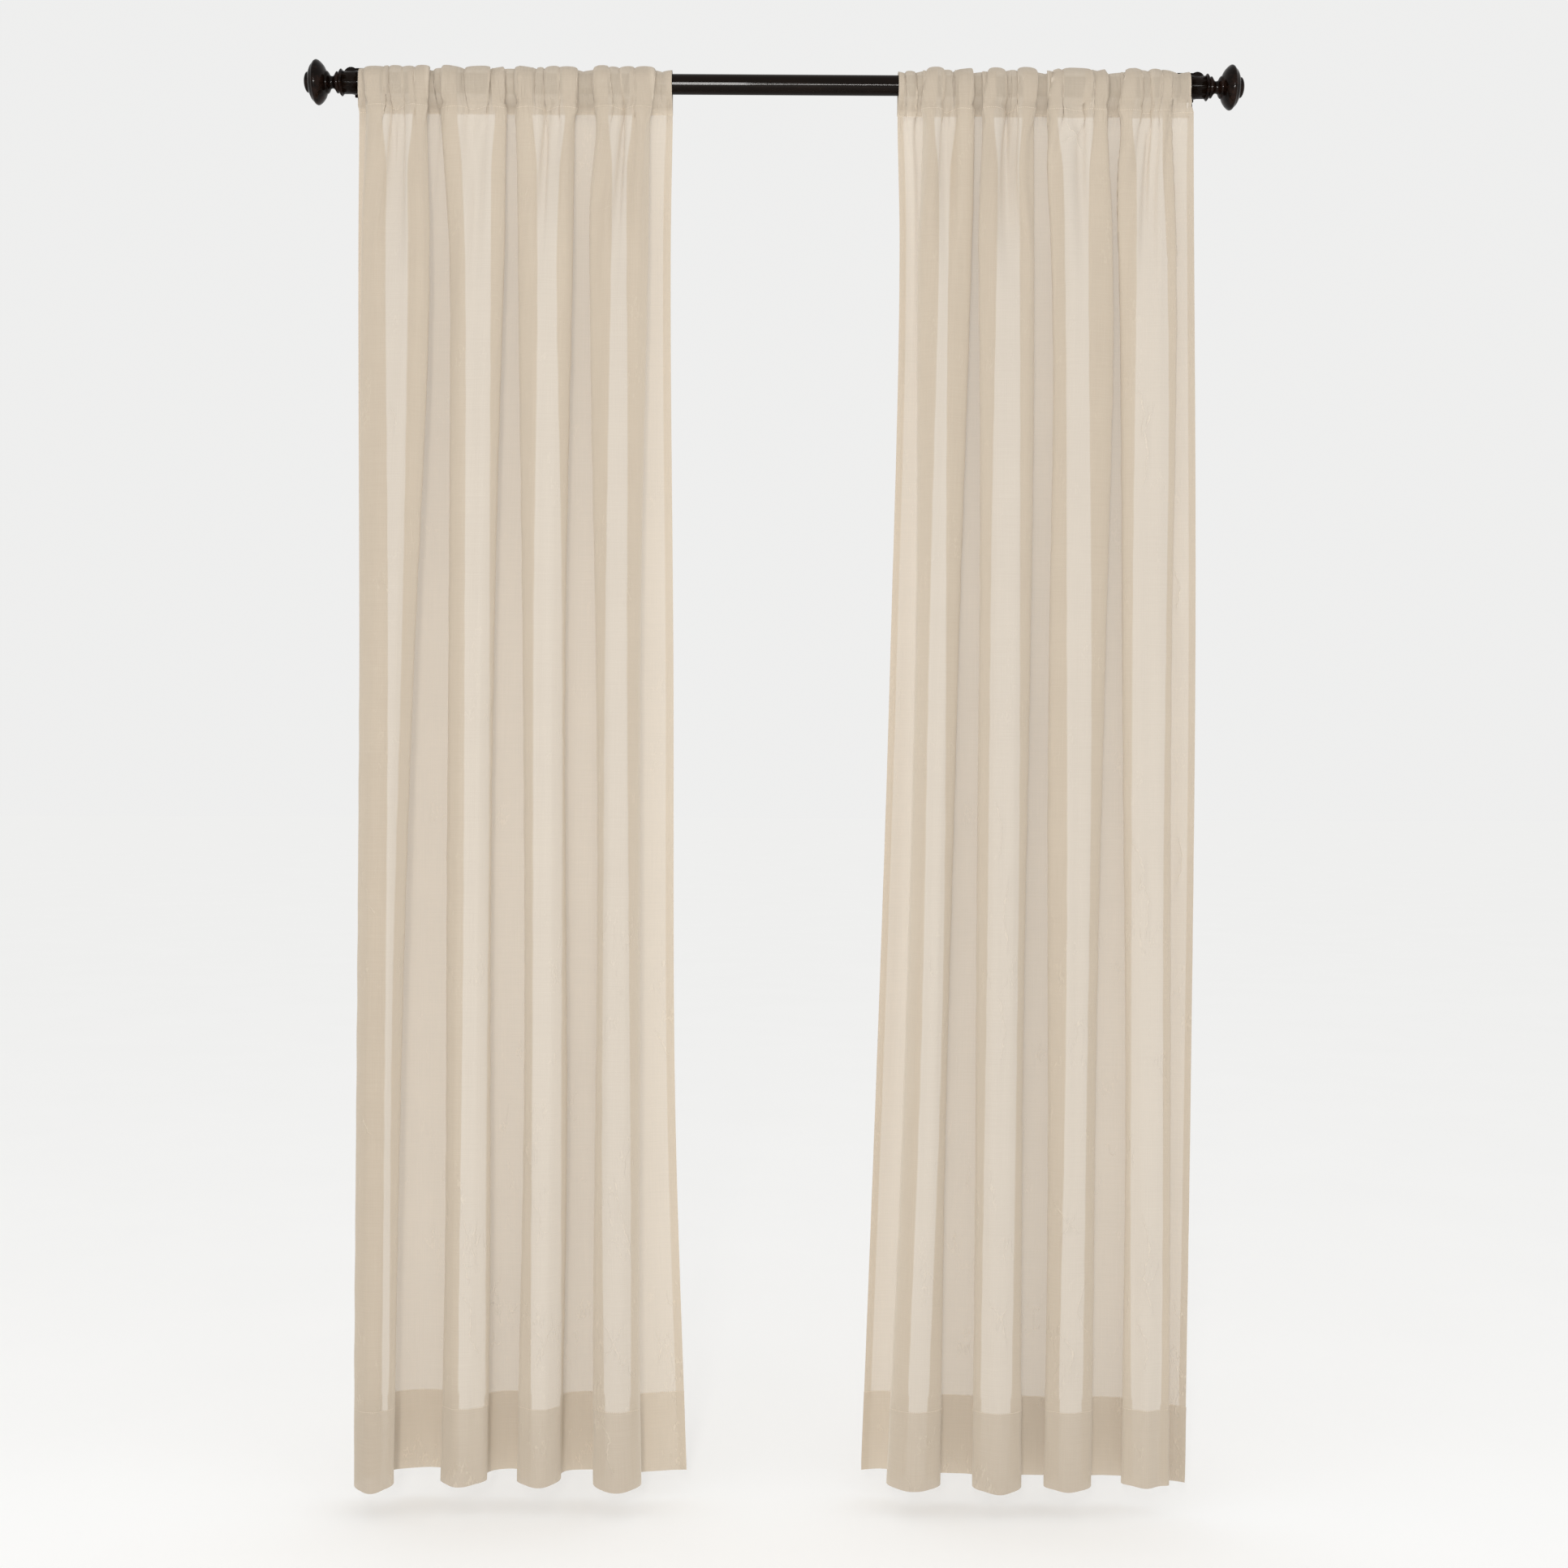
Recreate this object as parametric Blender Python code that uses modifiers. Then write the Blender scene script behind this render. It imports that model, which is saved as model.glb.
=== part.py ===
"""Two sheer voile curtain panels, gathered by their rod pockets on a rod with finials and wall brackets.

Metres, +Z up, +X to the right. The origin is on the wall plane, midway along the rod, at its axis height.
The room is on the -Y side and the wall on the +Y side.
"""

import math
from collections import namedtuple

import bmesh
import bpy
from mathutils import Vector

MM = 0.001

# Rod, and the gap that touching pieces keep
ROD_RADIUS = 15 * MM
ROD_STANDOFF = 92 * MM
ROD_HALF_LENGTH = 652 * MM
ROD_SIDES = 48
SEAT_GAP = 0.3 * MM

# Cloth: the finished length runs from the crown of the pocket to the hem's edge
FINISHED_LENGTH = 2134 * MM
POCKET_CROWN = 20 * MM
POCKET_STITCH_DROP = 40 * MM
HEM_DEPTH = 120 * MM
CLOTH_THICKNESS = 1.2 * MM
HEM_THICKNESS = 2.0 * MM
STITCH_RIDGE = 3 * MM
POCKET_LAYER_GAP = 2.6 * MM
HEM_DROP = FINISHED_LENGTH - POCKET_CROWN

# Pocket: how far the pleats stand off the rod, and the small gathers over its crown and down its back
PLEAT_ON_ROD = 9 * MM
GATHERS = 14
PUFF_BACK = 3 * MM
PUFF_CROWN = 4 * MM
POCKET_ARC_STEPS = 4
# Over 1, so that the cloth stays close to the rod at first and swings away from it near the stitch line
POCKET_BELLY = 2.2
# How far the cloth is spread evenly along the rod's crown, where its pleats are open
EVENING_ON_ROD = 0.3
# Share of the pleats' sideways overlap that is left at each step over the rod, from its back to its front
OVERLAP_ON_ARC = (0.0, 0.0, 0.2, 0.7, 1.0)

# Rows of the loft, as drops below the rod's axis
POCKET_DROPS = (14 * MM, 28 * MM, POCKET_STITCH_DROP)
HEADING_DROPS = (53 * MM, 75 * MM, 120 * MM)
BODY_DROPS = (240 * MM, 450 * MM, 800 * MM, 1150 * MM, 1500 * MM, 1800 * MM)

# The five heights, as drops below the rod's axis, at which the tables give the plan of each fold
SECTION_DROPS = (56 * MM, 240 * MM, 855 * MM, 1530 * MM, HEM_DROP)
# Share of a fold's depth at the hem that it has at each of those heights
DEPTH_SHARES = (0.33, 0.62, 0.85, 0.95, 1.0)
# Share of each fold's sideways overlap that it has at the pocket, and where that starts to grow and is whole
POCKET_OVERLAP = -0.12
OVERLAP_START = 45 * MM
OVERLAP_FULL = 130 * MM
# Each fold starts as two gathers at the pocket, with a dip between them that fades out over this length
DIP_START = 60 * MM
DIP_END = 330 * MM

# One row for each fold that stands forward, in millimetres from the rod's middle, at the five heights.
# face_left and face_right bound the front face. The cloth behind it turns at neck_left and neck_right.
# front is how far the face stands in front of the rod's axis at the hem.
# behind is how far behind that axis the cloth to the right of the fold lies at the hem.
# dip is how far the face's middle falls back at the pocket, as a share of the fold's depth.
Fold = namedtuple("Fold", "face_left neck_left neck_right face_right front behind dip")
Panel = namedtuple("Panel", "start start_behind folds end end_behind")

LEFT_PANEL = Panel(
    start=(-626, -630, -629, -630, -633),
    start_behind=42,
    folds=(
        Fold(
            face_left=(-616, -619, -617, -618, -619),
            neck_left=(-587, -589, -588, -589, -593),
            neck_right=(-560, -558, -566, -576, -584),
            face_right=(-524, -519, -537, -553, -560),
            front=65,
            behind=50,
            dip=0.55,
        ),
        Fold(
            face_left=(-497, -491, -485, -490, -495),
            neck_left=(-472, -468, -467, -472, -478),
            neck_right=(-433, -431, -431, -434, -434),
            face_right=(-409, -410, -417, -421, -427),
            front=48,
            behind=42,
            dip=0.4,
        ),
        Fold(
            face_left=(-386, -385, -375, -374, -377),
            neck_left=(-357, -357, -363, -365, -366),
            neck_right=(-327, -329, -320, -319, -318),
            face_right=(-301, -304, -310, -309, -314),
            front=48,
            behind=41,
            dip=0.6,
        ),
        Fold(
            face_left=(-269, -272, -264, -263, -263),
            neck_left=(-244, -246, -255, -257, -253),
            neck_right=(-228, -224, -222, -213, -210),
            face_right=(-188, -189, -196, -198, -190),
            front=60,
            behind=36,
            dip=0.5,
        ),
    ),
    end=(-155, -158, -152, -147, -127),
    end_behind=45,
)

RIGHT_PANEL = Panel(
    start=(187, 192, 181, 161, 142),
    start_behind=48,
    folds=(
        Fold(
            face_left=(225, 219, 214, 199, 176),
            neck_left=(254, 253, 241, 225, 208),
            neck_right=(265, 264, 263, 258, 240),
            face_right=(297, 297, 278, 263, 257),
            front=57,
            behind=30,
            dip=0.6,
        ),
        Fold(
            face_left=(314, 310, 310, 308, 303),
            neck_left=(342, 339, 331, 324, 324),
            neck_right=(368, 372, 375, 375, 366),
            face_right=(391, 392, 384, 378, 378),
            front=65,
            behind=24,
            dip=0.8,
        ),
        Fold(
            face_left=(412, 418, 416, 416, 409),
            neck_left=(440, 443, 446, 447, 440),
            neck_right=(473, 476, 485, 481, 472),
            face_right=(499, 506, 498, 489, 481),
            front=60,
            behind=22,
            dip=0.35,
        ),
        Fold(
            face_left=(523, 522, 529, 534, 528),
            neck_left=(552, 551, 547, 548, 550),
            neck_right=(580, 590, 595, 592, 587),
            face_right=(600, 604, 601, 601, 600),
            front=48,
            behind=-10,
            dip=0.75,
        ),
    ),
    end=(622, 632, 637, 632, 626),
    end_behind=-25,
)

# Shape of a fold in plan: the shoulders' place as a share of the face's width, and depths as shares of the
# fold's. The face is nearly flat above SHOULDER_EASE_START and rounder at the hem.
SHOULDER = 0.24
SHOULDER_DEPTH = 0.97
SHOULDER_DEPTH_AT_HEM = 0.88
SHOULDER_EASE_START = 1400 * MM
FACE_TURN_DEPTH = 0.28
NECK_TURN_DEPTH = 0.22

# Loft columns in each of a fold's nine spans: back, turn, side, turn, face, face, turn, side, turn
SPAN_STEPS = (1, 2, 1, 2, 2, 2, 2, 1, 2)

# Finial: rows of (offset from its inner face, radius) in millimetres
FinialPoint = namedtuple("FinialPoint", "offset radius")
FINIAL_COLLAR = (
    FinialPoint(0.0, 15.0),
    FinialPoint(1.4, 18.4),
    FinialPoint(3.1, 20.0),
    FinialPoint(4.9, 18.2),
    FinialPoint(7.2, 15.4),
    FinialPoint(9.8, 16.0),
    FinialPoint(12.0, 13.1),
    FinialPoint(14.4, 9.9),
    FinialPoint(17.0, 9.1),
    FinialPoint(19.8, 10.3),
    FinialPoint(22.0, 14.4),
    FinialPoint(24.0, 16.5),
    FinialPoint(25.6, 17.1),
)
FINIAL_BULB = (
    FinialPoint(29.0, 24.0),
    FinialPoint(33.8, 29.8),
    FinialPoint(38.7, 33.1),
    FinialPoint(42.4, 32.1),
    FinialPoint(44.0, 30.0),
    FinialPoint(48.2, 25.5),
    FinialPoint(51.6, 18.2),
)
FINIAL_BUTTON = (
    FinialPoint(52.2, 15.6),
    FinialPoint(55.4, 14.8),
    FinialPoint(57.8, 11.0),
    FinialPoint(59.2, 5.5),
    FinialPoint(59.5, 0.0),
)
FINIAL_SIDES = 32

# Bracket: a ring that the rod passes through, with a round-topped tab on it and an arm to the wall plate
BRACKET_X = 641 * MM
RING_WIDTH = 22 * MM
RING_WALL = 1.6 * MM
TAB_THICKNESS = 4 * MM
TAB_TOP = 23 * MM
ARM_THICKNESS = 5 * MM
ARM_FRONT_BEHIND_AXIS = 10 * MM
ARM_AT_RING = (-14 * MM, 12 * MM)
ARM_AT_WALL = (10 * MM, 46 * MM)
PLATE_WIDTH = 26 * MM
PLATE_HEIGHT = 46 * MM
PLATE_RISE = 31 * MM
PLATE_THICKNESS = 4 * MM
BRACKET_BEVEL = 1.2 * MM
BRACKET_SIDES = 40

Finish = namedtuple("Finish", "name colour roughness metallic")
VOILE = Finish("beige voile", (0.66, 0.55, 0.41), 0.85, 0.0)
BRONZE = Finish("dark bronze", (0.045, 0.025, 0.018), 0.32, 0.75)


def clear_scene():
    for obj in list(bpy.data.objects):
        bpy.data.objects.remove(obj)


def new_collection(name):
    collection = bpy.data.collections.new(name)
    bpy.context.scene.collection.children.link(collection)
    return collection


def make_material(finish):
    material = bpy.data.materials.new(finish.name)
    material.use_nodes = True
    shader = material.node_tree.nodes["Principled BSDF"]
    shader.inputs["Base Color"].default_value = (*finish.colour, 1.0)
    shader.inputs["Roughness"].default_value = finish.roughness
    shader.inputs["Metallic"].default_value = finish.metallic
    return material


def object_from(name, mesh, collection, finish=None):
    obj = bpy.data.objects.new(name, mesh)
    collection.objects.link(obj)
    if finish is not None:
        mesh.materials.append(finish)
    return obj


def smooth_shade(mesh, angle_degrees=35):
    mesh.shade_smooth()
    mesh.set_sharp_from_angle(angle=math.radians(angle_degrees))


def mix(a, b, share):
    return a + (b - a) * share


def ease(share):
    """Slow at both ends, from 0 to 1."""
    share = min(max(share, 0.0), 1.0)
    return share * share * (3 - 2 * share)


def along_sections(values, drop):
    """Value at this drop, on the smooth curve through the values given at SECTION_DROPS."""
    drop = min(max(drop, SECTION_DROPS[0]), SECTION_DROPS[-1])
    last = len(SECTION_DROPS) - 2
    i = min(sum(drop > d for d in SECTION_DROPS[1:]), last)
    x0, x1 = SECTION_DROPS[i], SECTION_DROPS[i + 1]
    step = (values[i + 1] - values[i]) / (x1 - x0)
    before = (values[i] - values[i - 1]) / (x0 - SECTION_DROPS[i - 1]) if i > 0 else step
    after = (values[i + 2] - values[i + 1]) / (SECTION_DROPS[i + 2] - x1) if i < last else step
    slope0 = (before + step) / 2 * (x1 - x0)
    slope1 = (after + step) / 2 * (x1 - x0)
    t = (drop - x0) / (x1 - x0)
    return (
        values[i] * (2 * t**3 - 3 * t**2 + 1)
        + slope0 * (t**3 - 2 * t**2 + t)
        + values[i + 1] * (3 * t**2 - 2 * t**3)
        + slope1 * (t**3 - t**2)
    )


def fold_turns(fold, behind_before, behind_after, drop):
    """Points of one fold in plan, from the turn behind its left edge to the turn behind its right edge."""
    share = along_sections(DEPTH_SHARES, drop)
    front = -fold.front * share
    back_left = behind_before * share
    back_right = behind_after * share
    dip = fold.dip * (1 - ease((drop - DIP_START) / (DIP_END - DIP_START)))
    overlap = mix(POCKET_OVERLAP, 1, ease((drop - OVERLAP_START) / (OVERLAP_FULL - OVERLAP_START)))
    face_left = along_sections(fold.face_left, drop)
    face_right = along_sections(fold.face_right, drop)
    neck_left = mix(face_left, along_sections(fold.neck_left, drop), overlap)
    neck_right = mix(face_right, along_sections(fold.neck_right, drop), overlap)
    width = face_right - face_left
    rounding = ease((drop - SHOULDER_EASE_START) / (HEM_DROP - SHOULDER_EASE_START))
    shoulder = front * mix(SHOULDER_DEPTH, SHOULDER_DEPTH_AT_HEM, rounding)
    return [
        (neck_left, mix(back_left, front, NECK_TURN_DEPTH)),
        (face_left, mix(front, back_left, FACE_TURN_DEPTH)),
        (face_left + SHOULDER * width, shoulder),
        ((face_left + face_right) / 2, mix(front, (back_left + back_right) / 2, dip)),
        (face_right - SHOULDER * width, shoulder),
        (face_right, mix(front, back_right, FACE_TURN_DEPTH)),
        (neck_right, mix(back_right, front, NECK_TURN_DEPTH)),
    ]


def plan_points(panel, drop):
    """The panel's route in plan at this drop, in metres from the rod's axis, before it is smoothed."""
    share = along_sections(DEPTH_SHARES, drop)
    behinds = [panel.start_behind] + [fold.behind for fold in panel.folds]
    groups = [
        fold_turns(fold, behinds[i], behinds[i + 1], drop) for i, fold in enumerate(panel.folds)
    ]
    start = (along_sections(panel.start, drop), panel.start_behind * share * 0.9)
    end = (along_sections(panel.end, drop), panel.end_behind * share)
    route = [start]
    before = start
    for group, behind in zip(groups, behinds):
        reach = group[0][0] - before[0]
        shares = (0.6,) if before is start else (0.22, 0.78)
        route.extend((before[0] + s * reach, behind * share) for s in shares)
        route.extend(group)
        before = group[-1]
    route.append((mix(before[0], end[0], 0.3), behinds[-1] * share))
    route.append(end)
    return [Vector((x * MM, y * MM)) for x, y in route]


def span_steps(point_count):
    """Loft columns for each span of a route: one span at the start, nine a fold, and two at the end."""
    steps = [1] + list(SPAN_STEPS[1:])
    while len(steps) < point_count - 2:
        steps.extend(SPAN_STEPS)
    return (steps + [1, 2])[: point_count - 1]


def smooth_route(points, steps):
    """Points on the Catmull-Rom curve through the route, with the given number of steps in each span."""
    ends = [points[0] * 2 - points[1]] + points + [points[-1] * 2 - points[-2]]
    smooth = [points[0].copy()]
    for i, count in enumerate(steps):
        p0, p1, p2, p3 = ends[i : i + 4]
        for k in range(1, count + 1):
            t = k / count
            smooth.append(
                p1 * (2 * t**3 - 3 * t**2 + 1)
                + (p2 - p0) * 0.5 * (t**3 - 2 * t**2 + t)
                + p2 * (3 * t**2 - 2 * t**3)
                + (p3 - p1) * 0.5 * (t**3 - t**2)
            )
    return smooth


def plan_curve(panel, drop):
    points = plan_points(panel, drop)
    return smooth_route(points, span_steps(len(points)))


def cloth_shares(curve):
    """Each column's share of the way across the cloth."""
    lengths = [0.0]
    for a, b in zip(curve, curve[1:]):
        lengths.append(lengths[-1] + (b - a).length)
    return [length / lengths[-1] for length in lengths]


def unfolded(values, shares):
    """The same values without their turns back: nearly their middle course, and always rising."""
    rising = [max(values[: i + 1]) for i in range(len(values))]
    falling = [min(values[i:]) for i in range(len(values))]
    return [
        mix((high + low) / 2, mix(values[0], values[-1], share), EVENING_ON_ROD)
        for high, low, share in zip(rising, falling, shares)
    ]


def gather_puff(share):
    """Uneven gathers along the pocket, from 0 in a valley to 1 on a crest."""
    wave = 0.5 - 0.5 * math.cos(2 * math.pi * GATHERS * share + 1.1 * math.sin(9 * share))
    return wave * (0.72 + 0.28 * math.sin(23 * share + 1.7))


def pocket_rows(panel):
    """Rows of points from the bottom of the pocket's back layer, over the rod and down to its stitch line."""
    stitch = plan_curve(panel, POCKET_STITCH_DROP)
    shares = cloth_shares(stitch)
    chord_sag = math.cos(math.pi / (2 * POCKET_ARC_STEPS))
    on_rod = (ROD_RADIUS + SEAT_GAP + CLOTH_THICKNESS / 2) / chord_sag
    front = min(p.y for p in stitch)
    back = max(p.y for p in stitch)
    spread = unfolded([p.x for p in stitch], shares)
    puffs = [gather_puff(s) for s in shares]
    pleats = [PLEAT_ON_ROD * (back - p.y) / (back - front) for p in stitch]

    def leave_rod(drop):
        """How far the cloth has swung from the stitch line's depth to the rod's."""
        return 1 - (drop / POCKET_STITCH_DROP) ** POCKET_BELLY

    rows = []
    for drop in reversed(POCKET_DROPS):
        hanging = back + POCKET_LAYER_GAP
        row = [
            Vector((x, mix(hanging, on_rod, leave_rod(drop)) + PUFF_BACK * puff, -drop))
            for x, puff in zip(spread, puffs)
        ]
        rows.append(row)
    for k, overlap in enumerate(OVERLAP_ON_ARC):
        angle = math.pi * k / POCKET_ARC_STEPS
        row = []
        for low, x, puff, pleat in zip(stitch, spread, puffs, pleats):
            side = on_rod + mix(PUFF_BACK * puff, pleat, overlap)
            crown = on_rod + PUFF_CROWN * puff + 0.5 * pleat * overlap
            row.append(Vector((mix(x, low.x, overlap), side * math.cos(angle), crown * math.sin(angle))))
        rows.append(row)
    for drop in POCKET_DROPS:
        row = [
            Vector((low.x, mix(low.y, -(on_rod + pleat), leave_rod(drop)), -drop))
            for low, pleat in zip(stitch, pleats)
        ]
        rows.append(row)
    return rows


def hanging_rows(panel):
    """Rows of points from just under the pocket to the hem's edge, and the first row of the hem."""
    hem_stitch = HEM_DROP - HEM_DEPTH
    drops = HEADING_DROPS + BODY_DROPS + (hem_stitch, hem_stitch + STITCH_RIDGE)
    first_hem_row = len(drops) - 1
    drops += (HEM_DROP - HEM_DEPTH / 2, HEM_DROP)
    rows = [[Vector((p.x, p.y, -drop)) for p in plan_curve(panel, drop)] for drop in drops]
    return rows, first_hem_row


def make_curtain(name, panel, collection, material):
    """One sheet of cloth: pocket, body and hem, lofted through its rows and given its thickness."""
    top = pocket_rows(panel)
    hanging, first_hem_row = hanging_rows(panel)
    rows = top + hanging
    columns = len(rows[0])
    points = [(p.x, p.y - ROD_STANDOFF, p.z) for row in rows for p in row]
    faces = []
    for r in range(len(rows) - 1):
        for c in range(columns - 1):
            corner = r * columns + c
            faces.append((corner, corner + columns, corner + columns + 1, corner + 1))
    mesh = bpy.data.meshes.new(name)
    mesh.from_pydata(points, [], faces)
    smooth_shade(mesh, 60)
    curtain = object_from(name, mesh, collection, material)
    hem = curtain.vertex_groups.new(name="hem")
    first_vertex = (len(top) + first_hem_row) * columns
    hem.add(list(range(first_vertex, len(points))), 1.0, "REPLACE")
    solidify = curtain.modifiers.new("cloth thickness", "SOLIDIFY")
    solidify.thickness = HEM_THICKNESS
    solidify.offset = 0.0
    solidify.vertex_group = hem.name
    solidify.thickness_vertex_group = CLOTH_THICKNESS / HEM_THICKNESS
    return curtain


def make_cylinder(name, radius, length, sides, collection, material=None):
    """A cylinder that lies along X."""
    mesh = bpy.data.meshes.new(name)
    shape = bmesh.new()
    bmesh.ops.create_cone(
        shape, cap_ends=True, segments=sides, radius1=radius, radius2=radius, depth=length
    )
    shape.to_mesh(mesh)
    shape.free()
    smooth_shade(mesh)
    obj = object_from(name, mesh, collection, material)
    obj.rotation_euler = (0, math.pi / 2, 0)
    return obj


def make_box(name, low, high, collection, material=None):
    mesh = bpy.data.meshes.new(name)
    shape = bmesh.new()
    bmesh.ops.create_cube(shape, size=1.0)
    size = [h - l for l, h in zip(low, high)]
    bmesh.ops.scale(shape, vec=size, verts=shape.verts)
    shape.to_mesh(mesh)
    shape.free()
    obj = object_from(name, mesh, collection, material)
    obj.location = [(l + h) / 2 for l, h in zip(low, high)]
    return obj


def make_rod(collection, material):
    rod = make_cylinder("rod", ROD_RADIUS, 2 * ROD_HALF_LENGTH, ROD_SIDES, collection, material)
    rod.location = (0, -ROD_STANDOFF, 0)
    return rod


def make_finial(name, side, collection, material):
    """A turned knob whose inner face meets the rod's end. side is -1 at the left and 1 at the right."""
    profile = (FinialPoint(0.0, 0.0),) + FINIAL_COLLAR + FINIAL_BULB + FINIAL_BUTTON
    # The axis of turning is Z, and the outline runs from the tip at the top down to the inner face.
    points = [(p.radius * MM, 0, p.offset * MM) for p in reversed(profile)]
    mesh = bpy.data.meshes.new(name)
    mesh.from_pydata(points, [(i, i + 1) for i in range(len(points) - 1)], [])
    finial = object_from(name, mesh, collection, material)
    screw = finial.modifiers.new("turned", "SCREW")
    screw.axis = "Z"
    screw.steps = FINIAL_SIDES
    screw.render_steps = FINIAL_SIDES
    screw.use_merge_vertices = True
    screw.merge_threshold = 0.00005
    screw.use_smooth_shade = True
    finial.rotation_euler = (0, side * math.pi / 2, 0)
    finial.location = (side * (ROD_HALF_LENGTH + SEAT_GAP), -ROD_STANDOFF, 0)
    return finial


def add_boolean(obj, other, operation):
    boolean = obj.modifiers.new(operation.lower() + " " + other.name, "BOOLEAN")
    boolean.operation = operation
    boolean.object = other
    boolean.solver = "EXACT"


def hide_helper(obj):
    obj.hide_render = True
    obj.display_type = "WIRE"


def tab_outline():
    """The upright tab on the ring, seen from the front: straight sides and a round top."""
    half = RING_WIDTH / 2
    centre = TAB_TOP - half
    points = [(-half, 0), (half, 0)]
    steps = BRACKET_SIDES // 2
    for k in range(steps + 1):
        angle = math.pi * k / steps
        points.append((half * math.cos(angle), centre + half * math.sin(angle)))
    return points


def extrude_outline(name, outline, thickness, collection, material=None):
    """An outline in XZ made a plate of the given thickness, whose front is at y = 0."""
    mesh = bpy.data.meshes.new(name)
    shape = bmesh.new()
    corners = [shape.verts.new((x, 0, z)) for x, z in outline]
    face = shape.faces.new(corners)
    moved = bmesh.ops.extrude_face_region(shape, geom=[face])["geom"]
    back = [v for v in moved if isinstance(v, bmesh.types.BMVert)]
    bmesh.ops.translate(shape, vec=(0, thickness, 0), verts=back)
    bmesh.ops.recalc_face_normals(shape, faces=shape.faces)
    shape.to_mesh(mesh)
    shape.free()
    return object_from(name, mesh, collection, material)


def make_bracket(name, side, collection, helpers, material):
    """Wall plate, arm, round-topped tab and the ring that the rod passes through, as one casting."""
    x = side * BRACKET_X
    bore = ROD_RADIUS + SEAT_GAP
    bracket = make_box(
        name,
        (x - PLATE_WIDTH / 2, -PLATE_THICKNESS, PLATE_RISE - PLATE_HEIGHT / 2),
        (x + PLATE_WIDTH / 2, 0, PLATE_RISE + PLATE_HEIGHT / 2),
        collection,
        material,
    )
    bevel = bracket.modifiers.new("rounded plate", "BEVEL")
    bevel.width = BRACKET_BEVEL
    bevel.segments = 2
    bevel.limit_method = "ANGLE"

    # The arm is a flat web on edge that rises towards the wall. Its outline in XZ is turned to face sideways.
    arm_front = -ROD_STANDOFF + ARM_FRONT_BEHIND_AXIS
    arm_back = -PLATE_THICKNESS / 2
    arm_outline = [
        (arm_front, ARM_AT_RING[0]),
        (arm_back, ARM_AT_WALL[0]),
        (arm_back, ARM_AT_WALL[1]),
        (arm_front, ARM_AT_RING[1]),
    ]
    arm = extrude_outline(name + "_arm", arm_outline, ARM_THICKNESS, helpers)
    arm.rotation_euler = (0, 0, math.pi / 2)
    arm.location = (x + ARM_THICKNESS / 2, 0, 0)
    tab = extrude_outline(name + "_tab", tab_outline(), TAB_THICKNESS, helpers)
    tab.location = (x, -ROD_STANDOFF - TAB_THICKNESS / 2, 0)
    ring = make_cylinder(name + "_ring", bore + RING_WALL, RING_WIDTH, BRACKET_SIDES, helpers)
    ring.location = (x, -ROD_STANDOFF, 0)
    hollow = make_cylinder(name + "_hollow", bore, 2 * RING_WIDTH, ROD_SIDES, helpers)
    hollow.location = (x, -ROD_STANDOFF, 0)
    for piece in (arm, tab, ring):
        add_boolean(bracket, piece, "UNION")
    add_boolean(bracket, hollow, "DIFFERENCE")
    for helper in (arm, tab, ring, hollow):
        hide_helper(helper)
    return bracket


def main():
    clear_scene()
    parts = new_collection("sheer_curtain")
    helpers = new_collection("cutters")
    voile = make_material(VOILE)
    bronze = make_material(BRONZE)
    make_curtain("curtain_left", LEFT_PANEL, parts, voile)
    make_curtain("curtain_right", RIGHT_PANEL, parts, voile)
    make_rod(parts, bronze)
    for label, side in (("left", -1), ("right", 1)):
        make_finial("finial_" + label, side, parts, bronze)
        make_bracket("bracket_" + label, side, parts, helpers, bronze)


main()
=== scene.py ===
"""The dressed sheer curtain: two gathered voile panels on a bronze rod, seen from the room.

Metres, +Z up. The origin is on the wall plane, midway along the rod, at the height of its axis.
The tables of the folds are in millimetres and are the solids' own, but for the panels' outer edges, which
lie where the cloth's do. Gathers, creases, hems and stitching are added to them.
"""
import math
from collections import namedtuple

import bmesh
import bpy
import numpy as np
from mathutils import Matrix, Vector


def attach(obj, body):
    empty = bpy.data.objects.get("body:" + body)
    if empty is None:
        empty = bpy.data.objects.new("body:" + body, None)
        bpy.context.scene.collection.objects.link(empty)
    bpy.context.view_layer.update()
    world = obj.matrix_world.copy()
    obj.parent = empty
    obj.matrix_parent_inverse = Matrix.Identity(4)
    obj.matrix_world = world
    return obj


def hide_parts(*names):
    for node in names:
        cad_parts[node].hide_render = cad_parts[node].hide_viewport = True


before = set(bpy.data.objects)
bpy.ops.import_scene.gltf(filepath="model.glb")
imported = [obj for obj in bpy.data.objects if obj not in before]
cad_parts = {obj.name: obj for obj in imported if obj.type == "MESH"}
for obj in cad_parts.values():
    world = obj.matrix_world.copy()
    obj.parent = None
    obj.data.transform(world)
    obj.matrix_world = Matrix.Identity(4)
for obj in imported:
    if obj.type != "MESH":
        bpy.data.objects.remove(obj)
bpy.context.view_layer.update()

MM = 0.001
TINY = 1e-9

# Rod and finished cloth
ROD_RADIUS = 15.0
ROD_STANDOFF = 92.0
ROD_HALF_LENGTH = 652.0
ROD_SIDES = 96
SEAT_GAP = 0.3
POCKET_STITCH_DROP = 40.0
POCKET_CROWN = 20.0
FINISHED_LENGTH = 2134.0
HEM_DROP = FINISHED_LENGTH - POCKET_CROWN
HEM_DEPTH = 120.0
# Cut size of one panel before it was hemmed and gathered, in metres
FLAT_WIDTH = 1.30

# The cloth over the rod
CLOTH_ON_ROD = 17.2
PLEAT_ON_ROD = 9.0
EVENING_ON_ROD = 0.3
# How much of a pleat is left on the crown, and the shares of the way over the rod at which the pleats have
# gone and their laps start to open
PLEAT_AT_CROWN = 0.5
PLEAT_GONE = 0.75
LAP_OPENS = 0.35
POCKET_BELLY = 2.2
POCKET_LAYER_GAP = 2.6
# The pocket stops short of the brackets' rings, and the cloth below them is a little wider
POCKET_END = 627.0
STITCH_END = 633.0

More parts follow.
